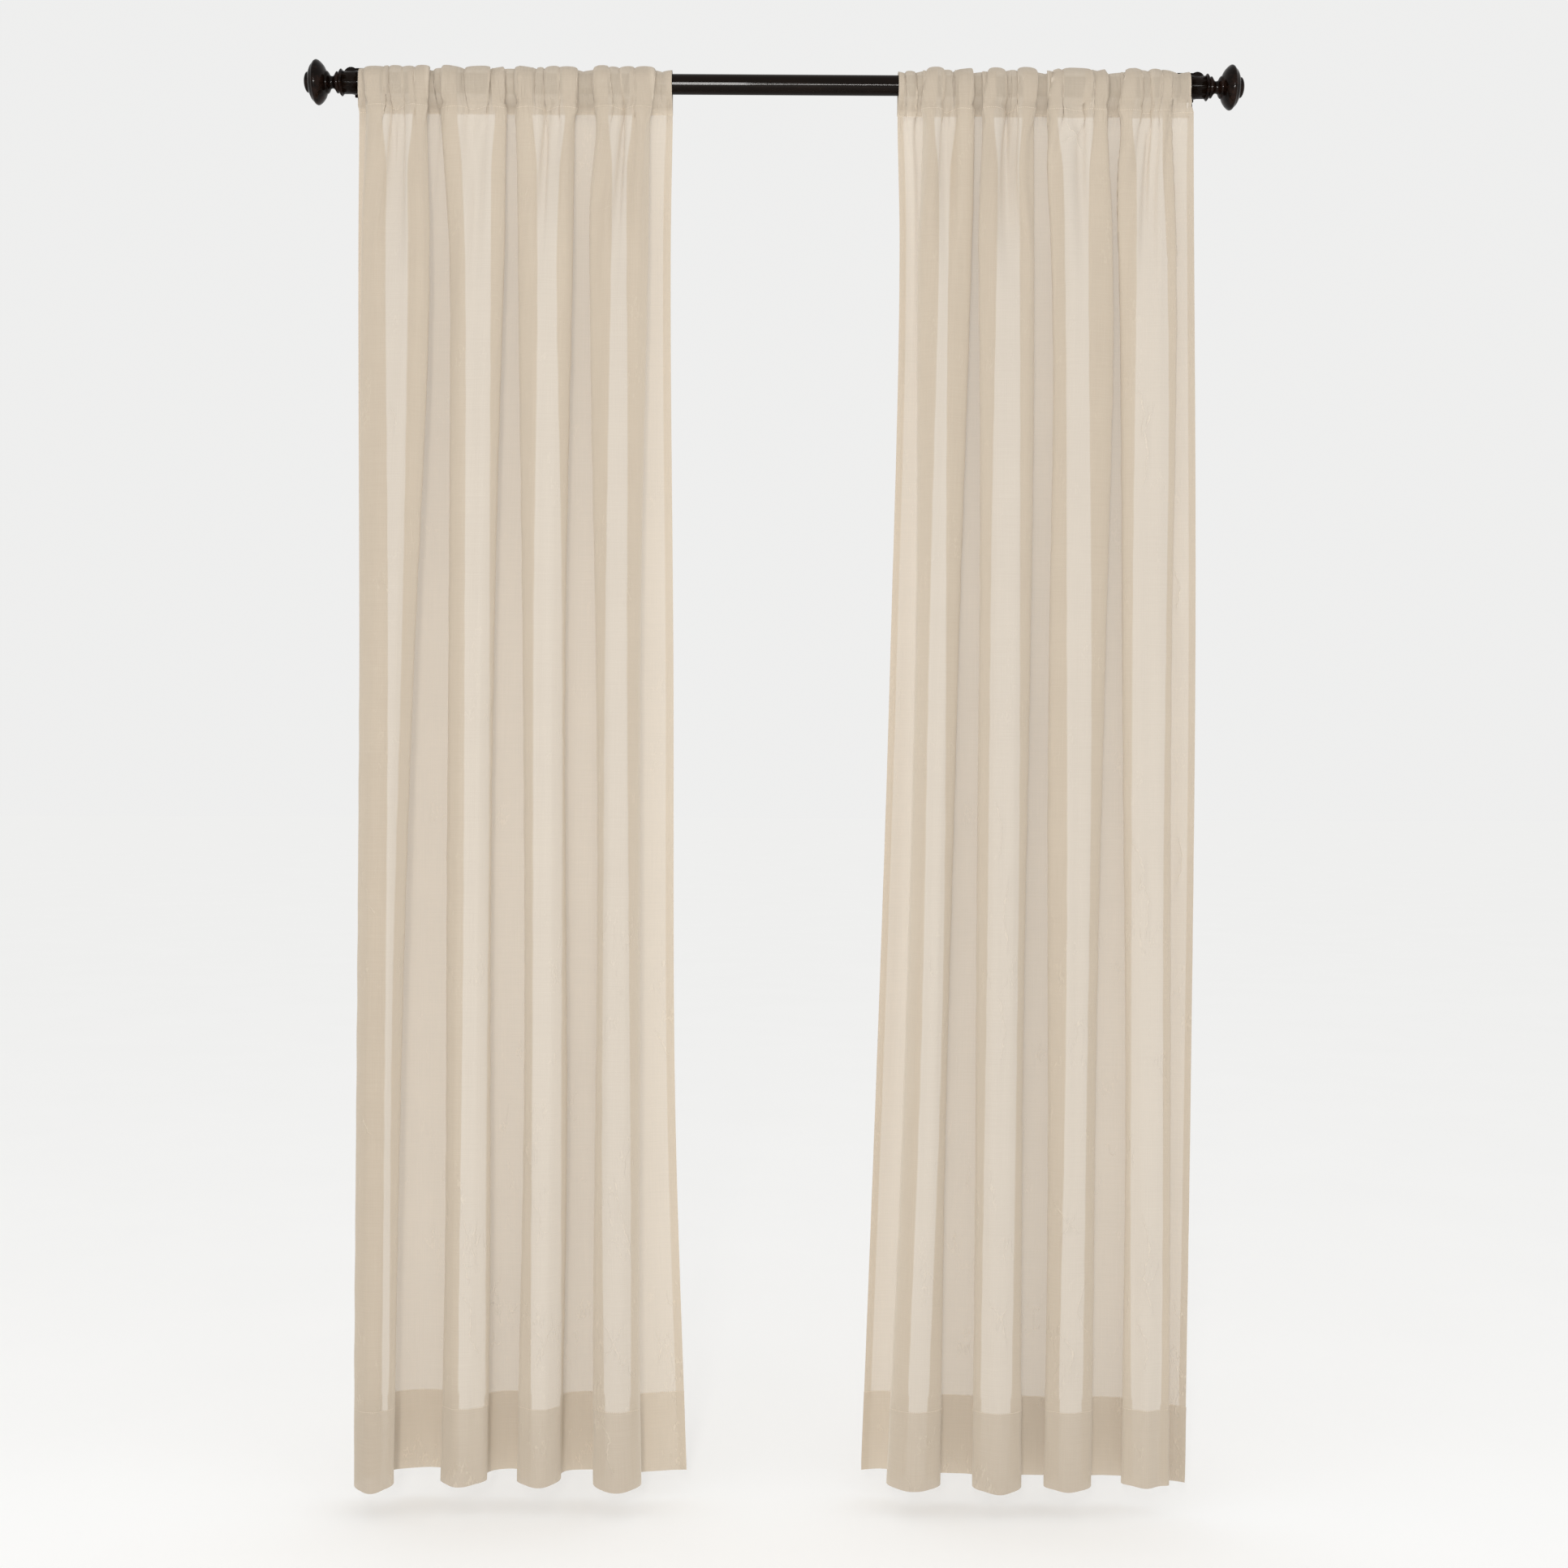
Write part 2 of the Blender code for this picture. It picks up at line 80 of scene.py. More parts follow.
# Gathers: their height, the share of it that the stitching takes away, and how far from the stitch line
CREST_HEIGHT = 6.2
STITCH_PINCH = 0.6
STITCH_PINCH_REACH = 7.0
# They are sharp at the stitch line, get rounder below it, and fade out over each one's own reach
CREST_SHARP = 0.75
CREST_ROUND = 2.0
CREST_ROUNDING_RUN = 70.0
CREST_FADE_POWER = 1.3
# The outer gathers are low, the first has its own reach, and both go on some columns past the cloth's edge
OUTER_GATHER_HEIGHT = 0.5
FIRST_GATHER_REACH = 120.0
OUTER_COLUMNS = 8.0
LEAST_COLUMN_STEP = 0.01
GATHERS_ON_BACK = 0.6
# How far the cloth beside a tuck laps over it, as a share of the gather's width, how much more on the side
# that it leans to, and how far below the stitch line that ends
TUCK_LAP = 0.4
TUCK_LAP_BIAS = 0.3
TUCK_LAP_AT_CROWN = 0.45
TUCK_LAP_ON_BACK = 0.3
TUCK_LAP_REACH = 34.0
# A gather this many times as long as it is seen wide holds a fold's turned edge, and doesn't lap again
LAPPED_LENGTH = 1.9
# The laps grow over this length from the pocket's ends
LAP_FREE_RUN = 40.0
# Creases: how much the tables' heights are raised, and how far beside its line a crease is still felt
CREASE_RISE = 1.3
CREASE_NEAR = 9.0
FAR_FROM_CREASE = 1000.0

# Plan of the folds, as in the solids, but for the overlap at the pocket, where only a thin sheet can lap
SECTION_DROPS = (56.0, 240.0, 855.0, 1530.0, HEM_DROP)
DEPTH_SHARES = (0.33, 0.62, 0.85, 0.95, 1.0)
POCKET_OVERLAP = 0.8
OVERLAP_START = 45.0
OVERLAP_FULL = 130.0
DIP_START = 60.0
DIP_END = 330.0
SHOULDER = 0.24
SHOULDER_DEPTH = 0.97
SHOULDER_DEPTH_AT_HEM = 0.88
SHOULDER_EASE_START = 1400.0
FACE_TURN_DEPTH = 0.28
NECK_TURN_DEPTH = 0.22
# The cloth behind the faces: its points' places, as shares of the way from one fold to the next
OUTER_EDGE_DEPTH = 0.9
BACK_BEFORE_FIRST = (0.6,)
BACK_BETWEEN = (0.22, 0.78)
BACK_AFTER_LAST = 0.3

# The sheet's grid
COLUMNS = 400
HEADING_RUN = 100.0
HEADING_ROWS = 20
BODY_ROWS = 178
HEM_ROWS = 11
POCKET_FRONT_ROWS = 6
POCKET_ARC_ROWS = 14
POCKET_BACK_ROWS = 5
ROUTE_STEPS = 14
SIDE_HEM_COLUMNS = 4
# The turned-back layers lie this far behind the front one, and the bottom hem's a little further
LAYER_OFFSET = 0.9
HEM_LAYER_SHARE = 1.5
TURNED_HEM_ANGLE = 110.0
TANGENT_ROUNDS = 3

# Painted light inside the folds: how much lighter the cloth is painted with depth, and where it counts as
# running back behind a face. On the rod, this painted light and the turned cloth count for less.
INNER_DEPTH_SHARE = 0.45
INNER_START = 0.3
INNER_RANGE = 0.9
INNER_ON_ROD = 0.35
TURNED_ON_ROD = 0.6
# The hem rises a little where it bends round from a face to a neck
HEM_LIFT = 7.0
HEM_LIFT_RUN = 110.0
HEM_LIFT_DEPTH = 0.6

# Slow waves of the hanging cloth: height, the runs for one radian, and how the panel's phase turns them
Wave = namedtuple("Wave", "height across down turn")
SWAYS = (Wave(1.5, 31.0, 330.0, 2.0), Wave(1.1, 19.0, -205.0, 1.0))
# Flutes run down the cloth and ripples across it, and both bend a little on their way
FLUTE_HEIGHT = 0.9
FLUTE_ACROSS = 7.4
FLUTE_BEND = 0.9
FLUTE_BEND_DOWN = 410.0
RIPPLE_HEIGHT = 0.35
RIPPLE_DOWN = 17.0
RIPPLE_BEND = 2.3
RIPPLE_BEND_ACROSS = 45.0
RIPPLE_FADE_ACROSS = 60.0
RIPPLE_FADE_DOWN = 150.0
# The waves start at this drop and are whole this much lower
WAVES_START = 60.0
WAVES_RUN = 260.0
# Puckers along the hem's stitch line
PUCKER_HEIGHT = 0.5
PUCKER_ACROSS = 2.9
PUCKER_UNEVEN_ACROSS = 37.0
PUCKER_REACH = 9.0

# A fold's four edges are given at the five heights: its face runs from face_left to face_right, and the
# cloth behind it turns at the necks. front and behind are how far the face and the cloth to its right lie
# from the rod's axis at the hem. dip is the share of that depth by which the face's middle falls back at the
# pocket.
Fold = namedtuple("Fold", "face_left neck_left neck_right face_right front behind dip")
# A tuck is a narrow valley between two gathers. place is where it meets the pocket's stitch line, lean how
# far it moves sideways on the way there from the crown, reach how far the gather to its right runs down the
# cloth, and height how high that gather stands, as a share of the usual one.
Tuck = namedtuple("Tuck", "place lean reach height")
# A crease is a soft ridge along points of (place, drop), on the layer that faces the room.
Crease = namedtuple("Crease", "points height width")
# A panel runs from its start edge, across its folds, to its end edge. phase shifts its slow waves.
Panel = namedtuple("Panel", "start start_behind folds end end_behind tucks creases phase")

LEFT_FOLDS = (
    Fold((-616, -619, -617, -618, -619), (-587, -589, -588, -589, -593),
         (-560, -558, -566, -576, -584), (-524, -519, -537, -553, -560), 65, 50, 0.55),
    Fold((-497, -491, -485, -490, -495), (-472, -468, -467, -472, -478),
         (-433, -431, -431, -434, -434), (-409, -410, -417, -421, -427), 48, 42, 0.4),
    Fold((-386, -385, -375, -374, -377), (-357, -357, -363, -365, -366),
         (-327, -329, -320, -319, -318), (-301, -304, -310, -309, -314), 48, 41, 0.6),
    Fold((-269, -272, -264, -263, -263), (-244, -246, -255, -257, -253),
         (-228, -224, -222, -213, -210), (-188, -189, -196, -198, -190), 60, 36, 0.5),
)
RIGHT_FOLDS = (
    Fold((225, 219, 214, 199, 176), (254, 253, 241, 225, 208),
         (265, 264, 263, 258, 240), (297, 297, 278, 263, 257), 57, 30, 0.6),
    Fold((314, 310, 310, 308, 303), (342, 339, 331, 324, 324),
         (368, 372, 375, 375, 366), (391, 392, 384, 378, 378), 65, 24, 0.8),
    Fold((412, 418, 416, 416, 409), (440, 443, 446, 447, 440),
         (473, 476, 485, 481, 472), (499, 506, 498, 489, 481), 60, 22, 0.35),
    Fold((523, 522, 529, 534, 528), (552, 551, 547, 548, 550),
         (580, 590, 595, 592, 587), (600, 604, 601, 601, 600), 48, -10, 0.75),
)

LEFT_TUCKS = [Tuck(*row) for row in (
    (-613, 14, 260, 0.7), (-590, -2, 150, 0.9), (-578, 5, 300, 1.1), (-557, 11, 340, 0.8),
    (-541, 2, 200, 1.0), (-526, -8, 120, 0.6), (-510, 6, 110, 0.7), (-498, -2, 420, 1.2),
    (-463, 6, 260, 1.0), (-435, -6, 300, 0.9), (-409, 2, 110, 0.6), (-386, 2, 380, 1.1),
    (-361, -6, 150, 0.8), (-347, 1, 340, 1.1), (-324, 4, 260, 0.9), (-303, -3, 110, 0.7),
    (-281, 10, 120, 0.6), (-268, 0, 360, 1.2), (-246, 9, 240, 0.9), (-228, 12, 320, 1.1),
    (-210, 3, 300, 1.0), (-190, -12, 160, 0.8), (-174, -4, 200, 0.8),
)]
RIGHT_TUCKS = [Tuck(*row) for row in (
    (201, 4, 240, 0.7), (213, 3, 200, 1.0), (226, -12, 360, 1.3), (252, -4, 200, 0.8),
    (271, 6, 300, 1.1), (297, 2, 110, 0.6), (316, -13, 380, 1.2), (350, 8, 160, 0.8),
    (368, 2, 360, 1.3), (388, -5, 120, 0.6), (400, -10, 220, 0.9), (416, -12, 260, 1.0),
    (434, 2, 300, 1.3), (468, -5, 160, 0.7), (481, 1, 320, 1.2), (513, 14, 120, 0.6),
    (525, -15, 420, 1.3), (552, 5, 300, 0.9), (570, 11, 200, 1.2), (581, -5, 240, 0.8),
    (596, -3, 140, 1.0), (615, 6, 120, 0.7),
)]

LEFT_CREASES = [Crease(*row) for row in (
    (((-566, 506), (-561, 517), (-563, 530)), 1.1, 4),
    (((-575, 768), (-569, 779)), 0.9, 4),
    (((-596, 1243), (-588, 1252)), 0.9, 4),
    (((-459, 1700), (-453, 1735), (-458, 1768), (-450, 1800)), 1.3, 5),
    (((-440, 1722), (-447, 1748), (-441, 1772)), 1.1, 4),
    (((-455, 1830), (-444, 1853), (-449, 1882), (-438, 1908)), 1.3, 5),
    (((-350, 1688), (-343, 1712), (-348, 1748)), 1.2, 4),
    (((-348, 1722), (-334, 1730)), 1.0, 4),
    (((-346, 1880), (-336, 1896), (-341, 1912)), 1.2, 4),
    (((-230, 1652), (-224, 1690), (-216, 1722), (-209, 1762)), 1.6, 5),
    (((-243, 1866), (-231, 1892), (-220, 1920)), 1.5, 5),
    (((-221, 1868), (-231, 1892), (-242, 1914)), 1.5, 5),
    (((-245, 2016), (-235, 2038), (-241, 2056), (-232, 2078)), 1.3, 5),
    (((-173, 1443), (-166, 1457), (-160, 1474)), 1.2, 4),
    (((-172, 1905), (-165, 1922), (-169, 1942)), 1.3, 4),
    (((-604, 1560), (-597, 1576)), 0.9, 4),
)]
RIGHT_CREASES = [Crease(*row) for row in (
    (((437, 60), (449, 80), (462, 100)), 1.6, 4),
    (((464, 62), (450, 80), (440, 88)), 1.4, 4),
    (((549, 474), (556, 506), (552, 534)), 1.4, 4),
    (((566, 500), (556, 530), (561, 566), (555, 606)), 1.5, 5),
    (((546, 1150), (557, 1182), (552, 1214)), 1.5, 4),
    (((553, 1200), (564, 1236), (559, 1282)), 1.4, 4),
    (((560, 1712), (568, 1752), (558, 1796), (570, 1840)), 1.5, 5),
    (((577, 1782), (566, 1806)), 1.2, 4),
    (((553, 1868), (566, 1894), (560, 1930)), 1.4, 5),
    (((603, 254), (610, 276), (606, 300)), 1.0, 4),
    (((609, 735), (617, 762), (612, 792)), 1.3, 4),
    (((616, 1144), (621, 1172), (615, 1202)), 1.2, 4),
    (((425, 1684), (444, 1712), (455, 1722)), 1.4, 4),
    (((452, 1700), (438, 1726)), 1.2, 4),
    (((468, 1806), (455, 1842), (470, 1872)), 1.4, 5),
    (((436, 1880), (452, 1902), (446, 1936)), 1.4, 5),
    (((333, 1838), (345, 1858), (350, 1886)), 1.4, 4),
    (((350, 1836), (338, 1862)), 1.2, 4),
    (((336, 1092), (343, 1130), (338, 1164)), 1.0, 4),
    (((352, 1206), (345, 1250), (351, 1300)), 1.0, 4),
    (((340, 1382), (348, 1420), (342, 1470)), 1.0, 4),
)]

LEFT_PANEL = Panel((-631, -634, -632, -633, -636), 42, LEFT_FOLDS, (-155, -158, -152, -147, -127), 45,
                   LEFT_TUCKS, LEFT_CREASES, 0.0)
RIGHT_PANEL = Panel((187, 192, 181, 161, 142), 48, RIGHT_FOLDS, (634, 634, 637, 632, 626), -25,
                    RIGHT_TUCKS, RIGHT_CREASES, 2.1)

# Finial: rows of (offset from its inner face, radius) in millimetres, as in the solids
FINIAL_OUTLINE = (
    (0.0, 15.0), (1.4, 18.4), (3.1, 20.0), (4.9, 18.2), (7.2, 15.4), (9.8, 16.0), (12.0, 13.1),
    (14.4, 9.9), (17.0, 9.1), (19.8, 10.3), (22.0, 14.4), (24.0, 16.5), (25.6, 17.1), (29.0, 24.0),
    (33.8, 29.8), (38.7, 33.1), (42.4, 32.1), (44.0, 30.0), (48.2, 25.5), (51.6, 18.2), (52.2, 15.6),
    (55.4, 14.8), (57.8, 11.0), (59.2, 5.5), (59.5, 0.0),
)
FINIAL_SIDES = 96
FINIAL_STEPS = 4

# Edges sharper than these angles stay crisp, and points closer than the merge distance are joined
ROD_EDGE = math.radians(40)
FINIAL_EDGE = math.radians(50)
BRACKET_EDGE = math.radians(30)
MERGE_DISTANCE = 0.01 * MM

# Stitching. A stitch is a bead with few faces, and it lies nearly on the cloth.
STITCH_LENGTH = 2.3 * MM
STITCH_PITCH = 3.2 * MM
THREAD_RADIUS = 0.22 * MM
THREAD_LIFT = 0.8
BEAD_SEGMENTS = 6
BEAD_RINGS = 4

# Camera: it looks almost straight at the wall from 3 m in front of the rod, at half the curtain's height
CAMERA_DISTANCE = 3.0
CAMERA_AIM = Vector((0.0184, -0.092, -1.0593))
CAMERA_LENS = 45.45
CAMERA_SENSOR = 36.0
CAMERA_ROLL = -0.23
CAMERA_YAW = -0.3

FLOOR_DROP = 2.155
FLOOR_HALF = 60.0
# Just enough glow that the far floor is as bright as the surround, so that no horizon shows in the cloth
FLOOR_GLOW = 0.176
SURROUND = (0.86, 0.86, 0.855, 1.0)
# The tall lamp lights the cloth. The long strip only draws a thin highlight along the rod.
Lamp = namedtuple("Lamp", "name place aim size energy colour")
TALL_LAMP = Lamp("tall front lamp", (-0.25, -4.2, -0.65), (0, 0, -0.9), (0.3, 2.0), 82, (1.0, 0.99, 0.97))
STRIP_LAMP = Lamp("rod strip", (0.0, -3.3, -0.68), (0, 0, 0.0), (3.4, 0.1), 180, (1.0, 0.98, 0.95))


def mix(a, b, share):
    return a + (b - a) * share


def ease(share):
    """Slow at both ends, from 0 to 1."""
    share = np.clip(share, 0.0, 1.0)
    return share * share * (3 - 2 * share)


def between(start, slope_start, end, slope_end, t):
    """Value on the smooth curve between two values with these slopes, at the share t of the way."""
    return (
        start * (2 * t**3 - 3 * t**2 + 1)
        + slope_start * (t**3 - 2 * t**2 + t)
        + end * (3 * t**2 - 2 * t**3)
        + slope_end * (t**3 - t**2)
    )


def along_sections(values, drop):
    """Value at this drop, on the smooth curve through the values given at SECTION_DROPS."""
    drop = min(max(drop, SECTION_DROPS[0]), SECTION_DROPS[-1])
    last = len(SECTION_DROPS) - 2
    i = min(sum(drop > d for d in SECTION_DROPS[1:]), last)
    x0, x1 = SECTION_DROPS[i], SECTION_DROPS[i + 1]
    step = (values[i + 1] - values[i]) / (x1 - x0)
    before = (values[i] - values[i - 1]) / (x0 - SECTION_DROPS[i - 1]) if i > 0 else step
    after = (values[i + 2] - values[i + 1]) / (SECTION_DROPS[i + 2] - x1) if i < last else step
    slope0 = (before + step) / 2 * (x1 - x0)
    slope1 = (after + step) / 2 * (x1 - x0)
    return between(values[i], slope0, values[i + 1], slope1, (drop - x0) / (x1 - x0))


def fold_turns(fold, behind_before, behind_after, drop):
    """Points of one fold in plan, from the turn behind its left edge to the turn behind its right edge."""
    share = along_sections(DEPTH_SHARES, drop)
    front = -fold.front * share
    back_left = behind_before * share
    back_right = behind_after * share
    dip = fold.dip * (1 - ease((drop - DIP_START) / (DIP_END - DIP_START)))
    overlap = mix(POCKET_OVERLAP, 1, ease((drop - OVERLAP_START) / (OVERLAP_FULL - OVERLAP_START)))
    face_left = along_sections(fold.face_left, drop)
    face_right = along_sections(fold.face_right, drop)
    neck_left = mix(face_left, along_sections(fold.neck_left, drop), overlap)
    neck_right = mix(face_right, along_sections(fold.neck_right, drop), overlap)
    width = face_right - face_left
    rounding = ease((drop - SHOULDER_EASE_START) / (HEM_DROP - SHOULDER_EASE_START))
    shoulder = front * mix(SHOULDER_DEPTH, SHOULDER_DEPTH_AT_HEM, rounding)
    return [
        (neck_left, mix(back_left, front, NECK_TURN_DEPTH)),
        (face_left, mix(front, back_left, FACE_TURN_DEPTH)),
        (face_left + SHOULDER * width, shoulder),
        ((face_left + face_right) / 2, mix(front, (back_left + back_right) / 2, dip)),
        (face_right - SHOULDER * width, shoulder),
        (face_right, mix(front, back_right, FACE_TURN_DEPTH)),
        (neck_right, mix(back_right, front, NECK_TURN_DEPTH)),
    ]


def plan_points(panel, drop):
    """The panel's route in plan at this drop, in millimetres from the rod's axis, before it is smoothed."""
    share = along_sections(DEPTH_SHARES, drop)
    behinds = [panel.start_behind] + [fold.behind for fold in panel.folds]
    groups = [fold_turns(fold, behinds[i], behinds[i + 1], drop) for i, fold in enumerate(panel.folds)]
    start = (along_sections(panel.start, drop), panel.start_behind * share * OUTER_EDGE_DEPTH)
    end = (along_sections(panel.end, drop), panel.end_behind * share)
    route = [start]
    before = start
    for group, behind in zip(groups, behinds):
        reach = group[0][0] - before[0]
        shares = BACK_BEFORE_FIRST if before is start else BACK_BETWEEN
        route.extend((before[0] + s * reach, behind * share) for s in shares)
        route.extend(group)
        before = group[-1]
    route.append((mix(before[0], end[0], BACK_AFTER_LAST), behinds[-1] * share))
    route.append(end)
    return np.array(route, dtype=float)


def smooth_route(points, steps):
    """Points on the smooth curve through the route, with this many steps in each span."""
    ends = np.vstack([points[0] * 2 - points[1], points, points[-1] * 2 - points[-2]])
    t = (np.arange(1, steps + 1) / steps)[:, None]
    spans = [points[:1]]
    for i in range(len(points) - 1):
        p0, p1, p2, p3 = ends[i : i + 4]
        spans.append(between(p1, (p2 - p0) * 0.5, p2, (p3 - p1) * 0.5, t))
    return np.vstack(spans)


def step_lengths(route):
    """Distances in plan between one point of a route and the next."""
    return np.linalg.norm(np.diff(route[:, :2], axis=0), axis=1)


def even_columns(curve, count):
    """The curve cut into columns at even distances along it."""
    lengths = np.concatenate([[0], np.cumsum(step_lengths(curve))])
    places = np.linspace(0, lengths[-1], count)
    return np.column_stack([np.interp(places, lengths, curve[:, k]) for k in range(2)])


def plan_row(panel, drop):
    """One row of the front: the panel's smoothed plan at this drop, cut into the sheet's columns."""
    return even_columns(smooth_route(plan_points(panel, drop), ROUTE_STEPS), COLUMNS)


def body_drops():
    """Drops of the front's rows, from the hem's edge up to the pocket's stitch line."""
    hem_stitch = HEM_DROP - HEM_DEPTH
    heading = POCKET_STITCH_DROP + HEADING_RUN
    hem_part = np.linspace(HEM_DROP, hem_stitch, HEM_ROWS + 1)
    body_part = np.linspace(hem_stitch, heading, BODY_ROWS + 1)[1:]
    heading_part = np.linspace(heading, POCKET_STITCH_DROP, HEADING_ROWS + 1)[1:]
    return np.concatenate([hem_part, body_part, heading_part])


def front_rows(panel, drops):
    """The rows of the front, as points in millimetres from the rod's axis."""
    rows = []
    for drop in drops:
        plan = plan_row(panel, drop)
        rows.append(np.column_stack([plan, np.full(COLUMNS, -drop)]))
    return rows


def pocket_rows(panel, stitch):
    """Rows from just above the stitch line, up over the rod and down to the bottom of the back layer."""
    x, y = stitch[:, 0], stitch[:, 1]
    share = np.linspace(0, 1, COLUMNS)
    middle = (np.maximum.accumulate(x) + np.minimum.accumulate(x[::-1])[::-1]) / 2
    spread = mix(middle, mix(x[0], x[-1], share), EVENING_ON_ROD)
    front, back = y.min(), y.max()
    pleat = PLEAT_ON_ROD * (back - y) / (back - front)
    rows = []

    def row(places, depths, heights, swing=1.0):
        end = mix(STITCH_END, POCKET_END, swing)
        rows.append(np.stack(np.broadcast_arrays(np.clip(places, -end, end), depths, heights), axis=1))

    for drop in np.linspace(POCKET_STITCH_DROP, 0, POCKET_FRONT_ROWS + 1)[1:]:
        swing = 1 - (drop / POCKET_STITCH_DROP) ** POCKET_BELLY
        row(x, mix(y, -(CLOTH_ON_ROD + pleat), swing), -drop, swing)
    for k in range(1, POCKET_ARC_ROWS + 1):
        turn = k / POCKET_ARC_ROWS
        raised = 1 - ease(turn / PLEAT_GONE)
        lapped = 1 - ease((turn - LAP_OPENS) / (1 - LAP_OPENS))
        side = CLOTH_ON_ROD + pleat * raised
        crown = CLOTH_ON_ROD + PLEAT_AT_CROWN * pleat * raised
        angle = math.pi * turn
        row(mix(spread, x, lapped), -side * math.cos(angle), crown * math.sin(angle))
    hanging = back + POCKET_LAYER_GAP
    for drop in np.linspace(0, POCKET_STITCH_DROP, POCKET_BACK_ROWS + 1)[1:]:
        swing = 1 - (drop / POCKET_STITCH_DROP) ** POCKET_BELLY
        row(spread, mix(hanging, CLOTH_ON_ROD, swing), -drop, swing)
    return rows


def grid_tangents(grid):
    """Unit directions across the cloth, evened out so that a tight turn doesn't throw a point off."""
    across = np.gradient(grid, axis=1)
    for _ in range(TANGENT_ROUNDS):
        across[:, 1:-1] = (across[:, :-2] + 2 * across[:, 1:-1] + across[:, 2:]) / 4
    return across / np.maximum(np.linalg.norm(across, axis=2, keepdims=True), TINY)


def grid_normals(grid):
    """Unit normals of a grid of points, which point to the room on the front."""
    across = np.gradient(grid, axis=1)
    up = np.gradient(grid, axis=0)
    normals = np.cross(across, up)
    return normals / np.maximum(np.linalg.norm(normals, axis=2, keepdims=True), TINY)


def column_at(row, place):
    """Column, as a fraction, where a row's layer nearest the room crosses this place."""
    x, y = row[:, 0], row[:, 1]
    crossings = np.where((x[:-1] - place) * (x[1:] - place) <= 0)[0]
    if not len(crossings):
        return float(np.argmin(np.abs(x - place)))
    i = crossings[np.argmin(y[crossings])]
    step = x[i + 1] - x[i]
    return float(i + (place - x[i]) / step) if step else float(i)


def gather_field(panel, stitch, runs):
    """Four things about the gathers at each point of the cloth.

    Their height, how far they lap sideways and the signed distance to the nearest lapped edge, in
    millimetres, and how near that edge is, from 0 to 1. runs is each row's distance from the crown.
    """
    columns = np.arange(COLUMNS)
    places = np.array([stitch[0, 0]] + [t.place for t in panel.tucks] + [stitch[-1, 0]])
    at_stitch = np.array([column_at(stitch, t.place) for t in panel.tucks])
    tuck_leans = np.array([t.lean for t in panel.tucks])
    column_width = step_lengths(stitch).sum() / (COLUMNS - 1)
    tallness = np.array([OUTER_GATHER_HEIGHT] + [t.height for t in panel.tucks])
    tallness[-1] = OUTER_GATHER_HEIGHT
    all_reaches = np.array([FIRST_GATHER_REACH] + [t.reach for t in panel.tucks])
    biases = np.concatenate([[0.0], np.sign(tuck_leans)]) * TUCK_LAP_BIAS
    # A gather that holds the turned edge of a main fold is lapped already, and so are the two outer ones
    span = np.diff(np.concatenate([[0.0], at_stitch, [COLUMNS - 1.0]])) * column_width
    visible = np.diff(places)
    free = ease((LAPPED_LENGTH * visible - span) / ((LAPPED_LENGTH - 1) * visible))
    free[0] = free[-1] = 0.0
    stitch_run = POCKET_STITCH_DROP + CLOTH_ON_ROD * math.pi / 2
    field, lap, edge_away, edge_near = np.zeros((4, len(runs), COLUMNS))
    for r, run in enumerate(runs):
        rise = 1 - min(abs(run) / stitch_run, 1.0)
        leaning = at_stitch - tuck_leans * rise / column_width
        edges = np.concatenate([[-OUTER_COLUMNS], leaning, [COLUMNS - 1 + OUTER_COLUMNS]])
        edges = np.maximum.accumulate(edges + np.arange(len(edges)) * LEAST_COLUMN_STEP)
        i = np.clip(np.searchsorted(edges, columns, side="right") - 1, 0, len(edges) - 2)
        across = np.clip((columns - edges[i]) / (edges[i + 1] - edges[i]), 0, 1)
        below = max(run - stitch_run, 0.0)
        sharpness = mix(CREST_SHARP, CREST_ROUND, ease(below / CREST_ROUNDING_RUN))
        pinch = 1 - STITCH_PINCH * math.exp(-(((run - stitch_run) / STITCH_PINCH_REACH) ** 2))
        crest = np.sin(math.pi * across) ** sharpness
        fade = np.exp(-((below / all_reaches[i]) ** CREST_FADE_POWER))
        field[r] = CREST_HEIGHT * crest * tallness[i] * fade * pinch
        swing = np.sin(2 * math.pi * across) * (1 + biases[i] * np.sign(across - 0.5))
        over = ease(1 - abs(run) / (CLOTH_ON_ROD * math.pi / 2))
        share = mix(1.0 if run > 0 else TUCK_LAP_ON_BACK, TUCK_LAP_AT_CROWN, over)
        strength = TUCK_LAP * free[i] * share * math.exp(-((below / TUCK_LAP_REACH) ** 2))
        lap[r] = -strength * visible[i] * swing
        slope = 2 * math.pi * strength
        turn = np.arccos(1 / np.maximum(slope, 1.0)) / (2 * math.pi)
        edge_away[r] = (np.minimum(across, 1 - across) - turn) * (edges[i + 1] - edges[i]) * column_width
        edge_near[r] = ease(slope - 1) * np.exp(-((edge_away[r] / CREASE_NEAR) ** 2))
    return field, lap, edge_away, edge_near


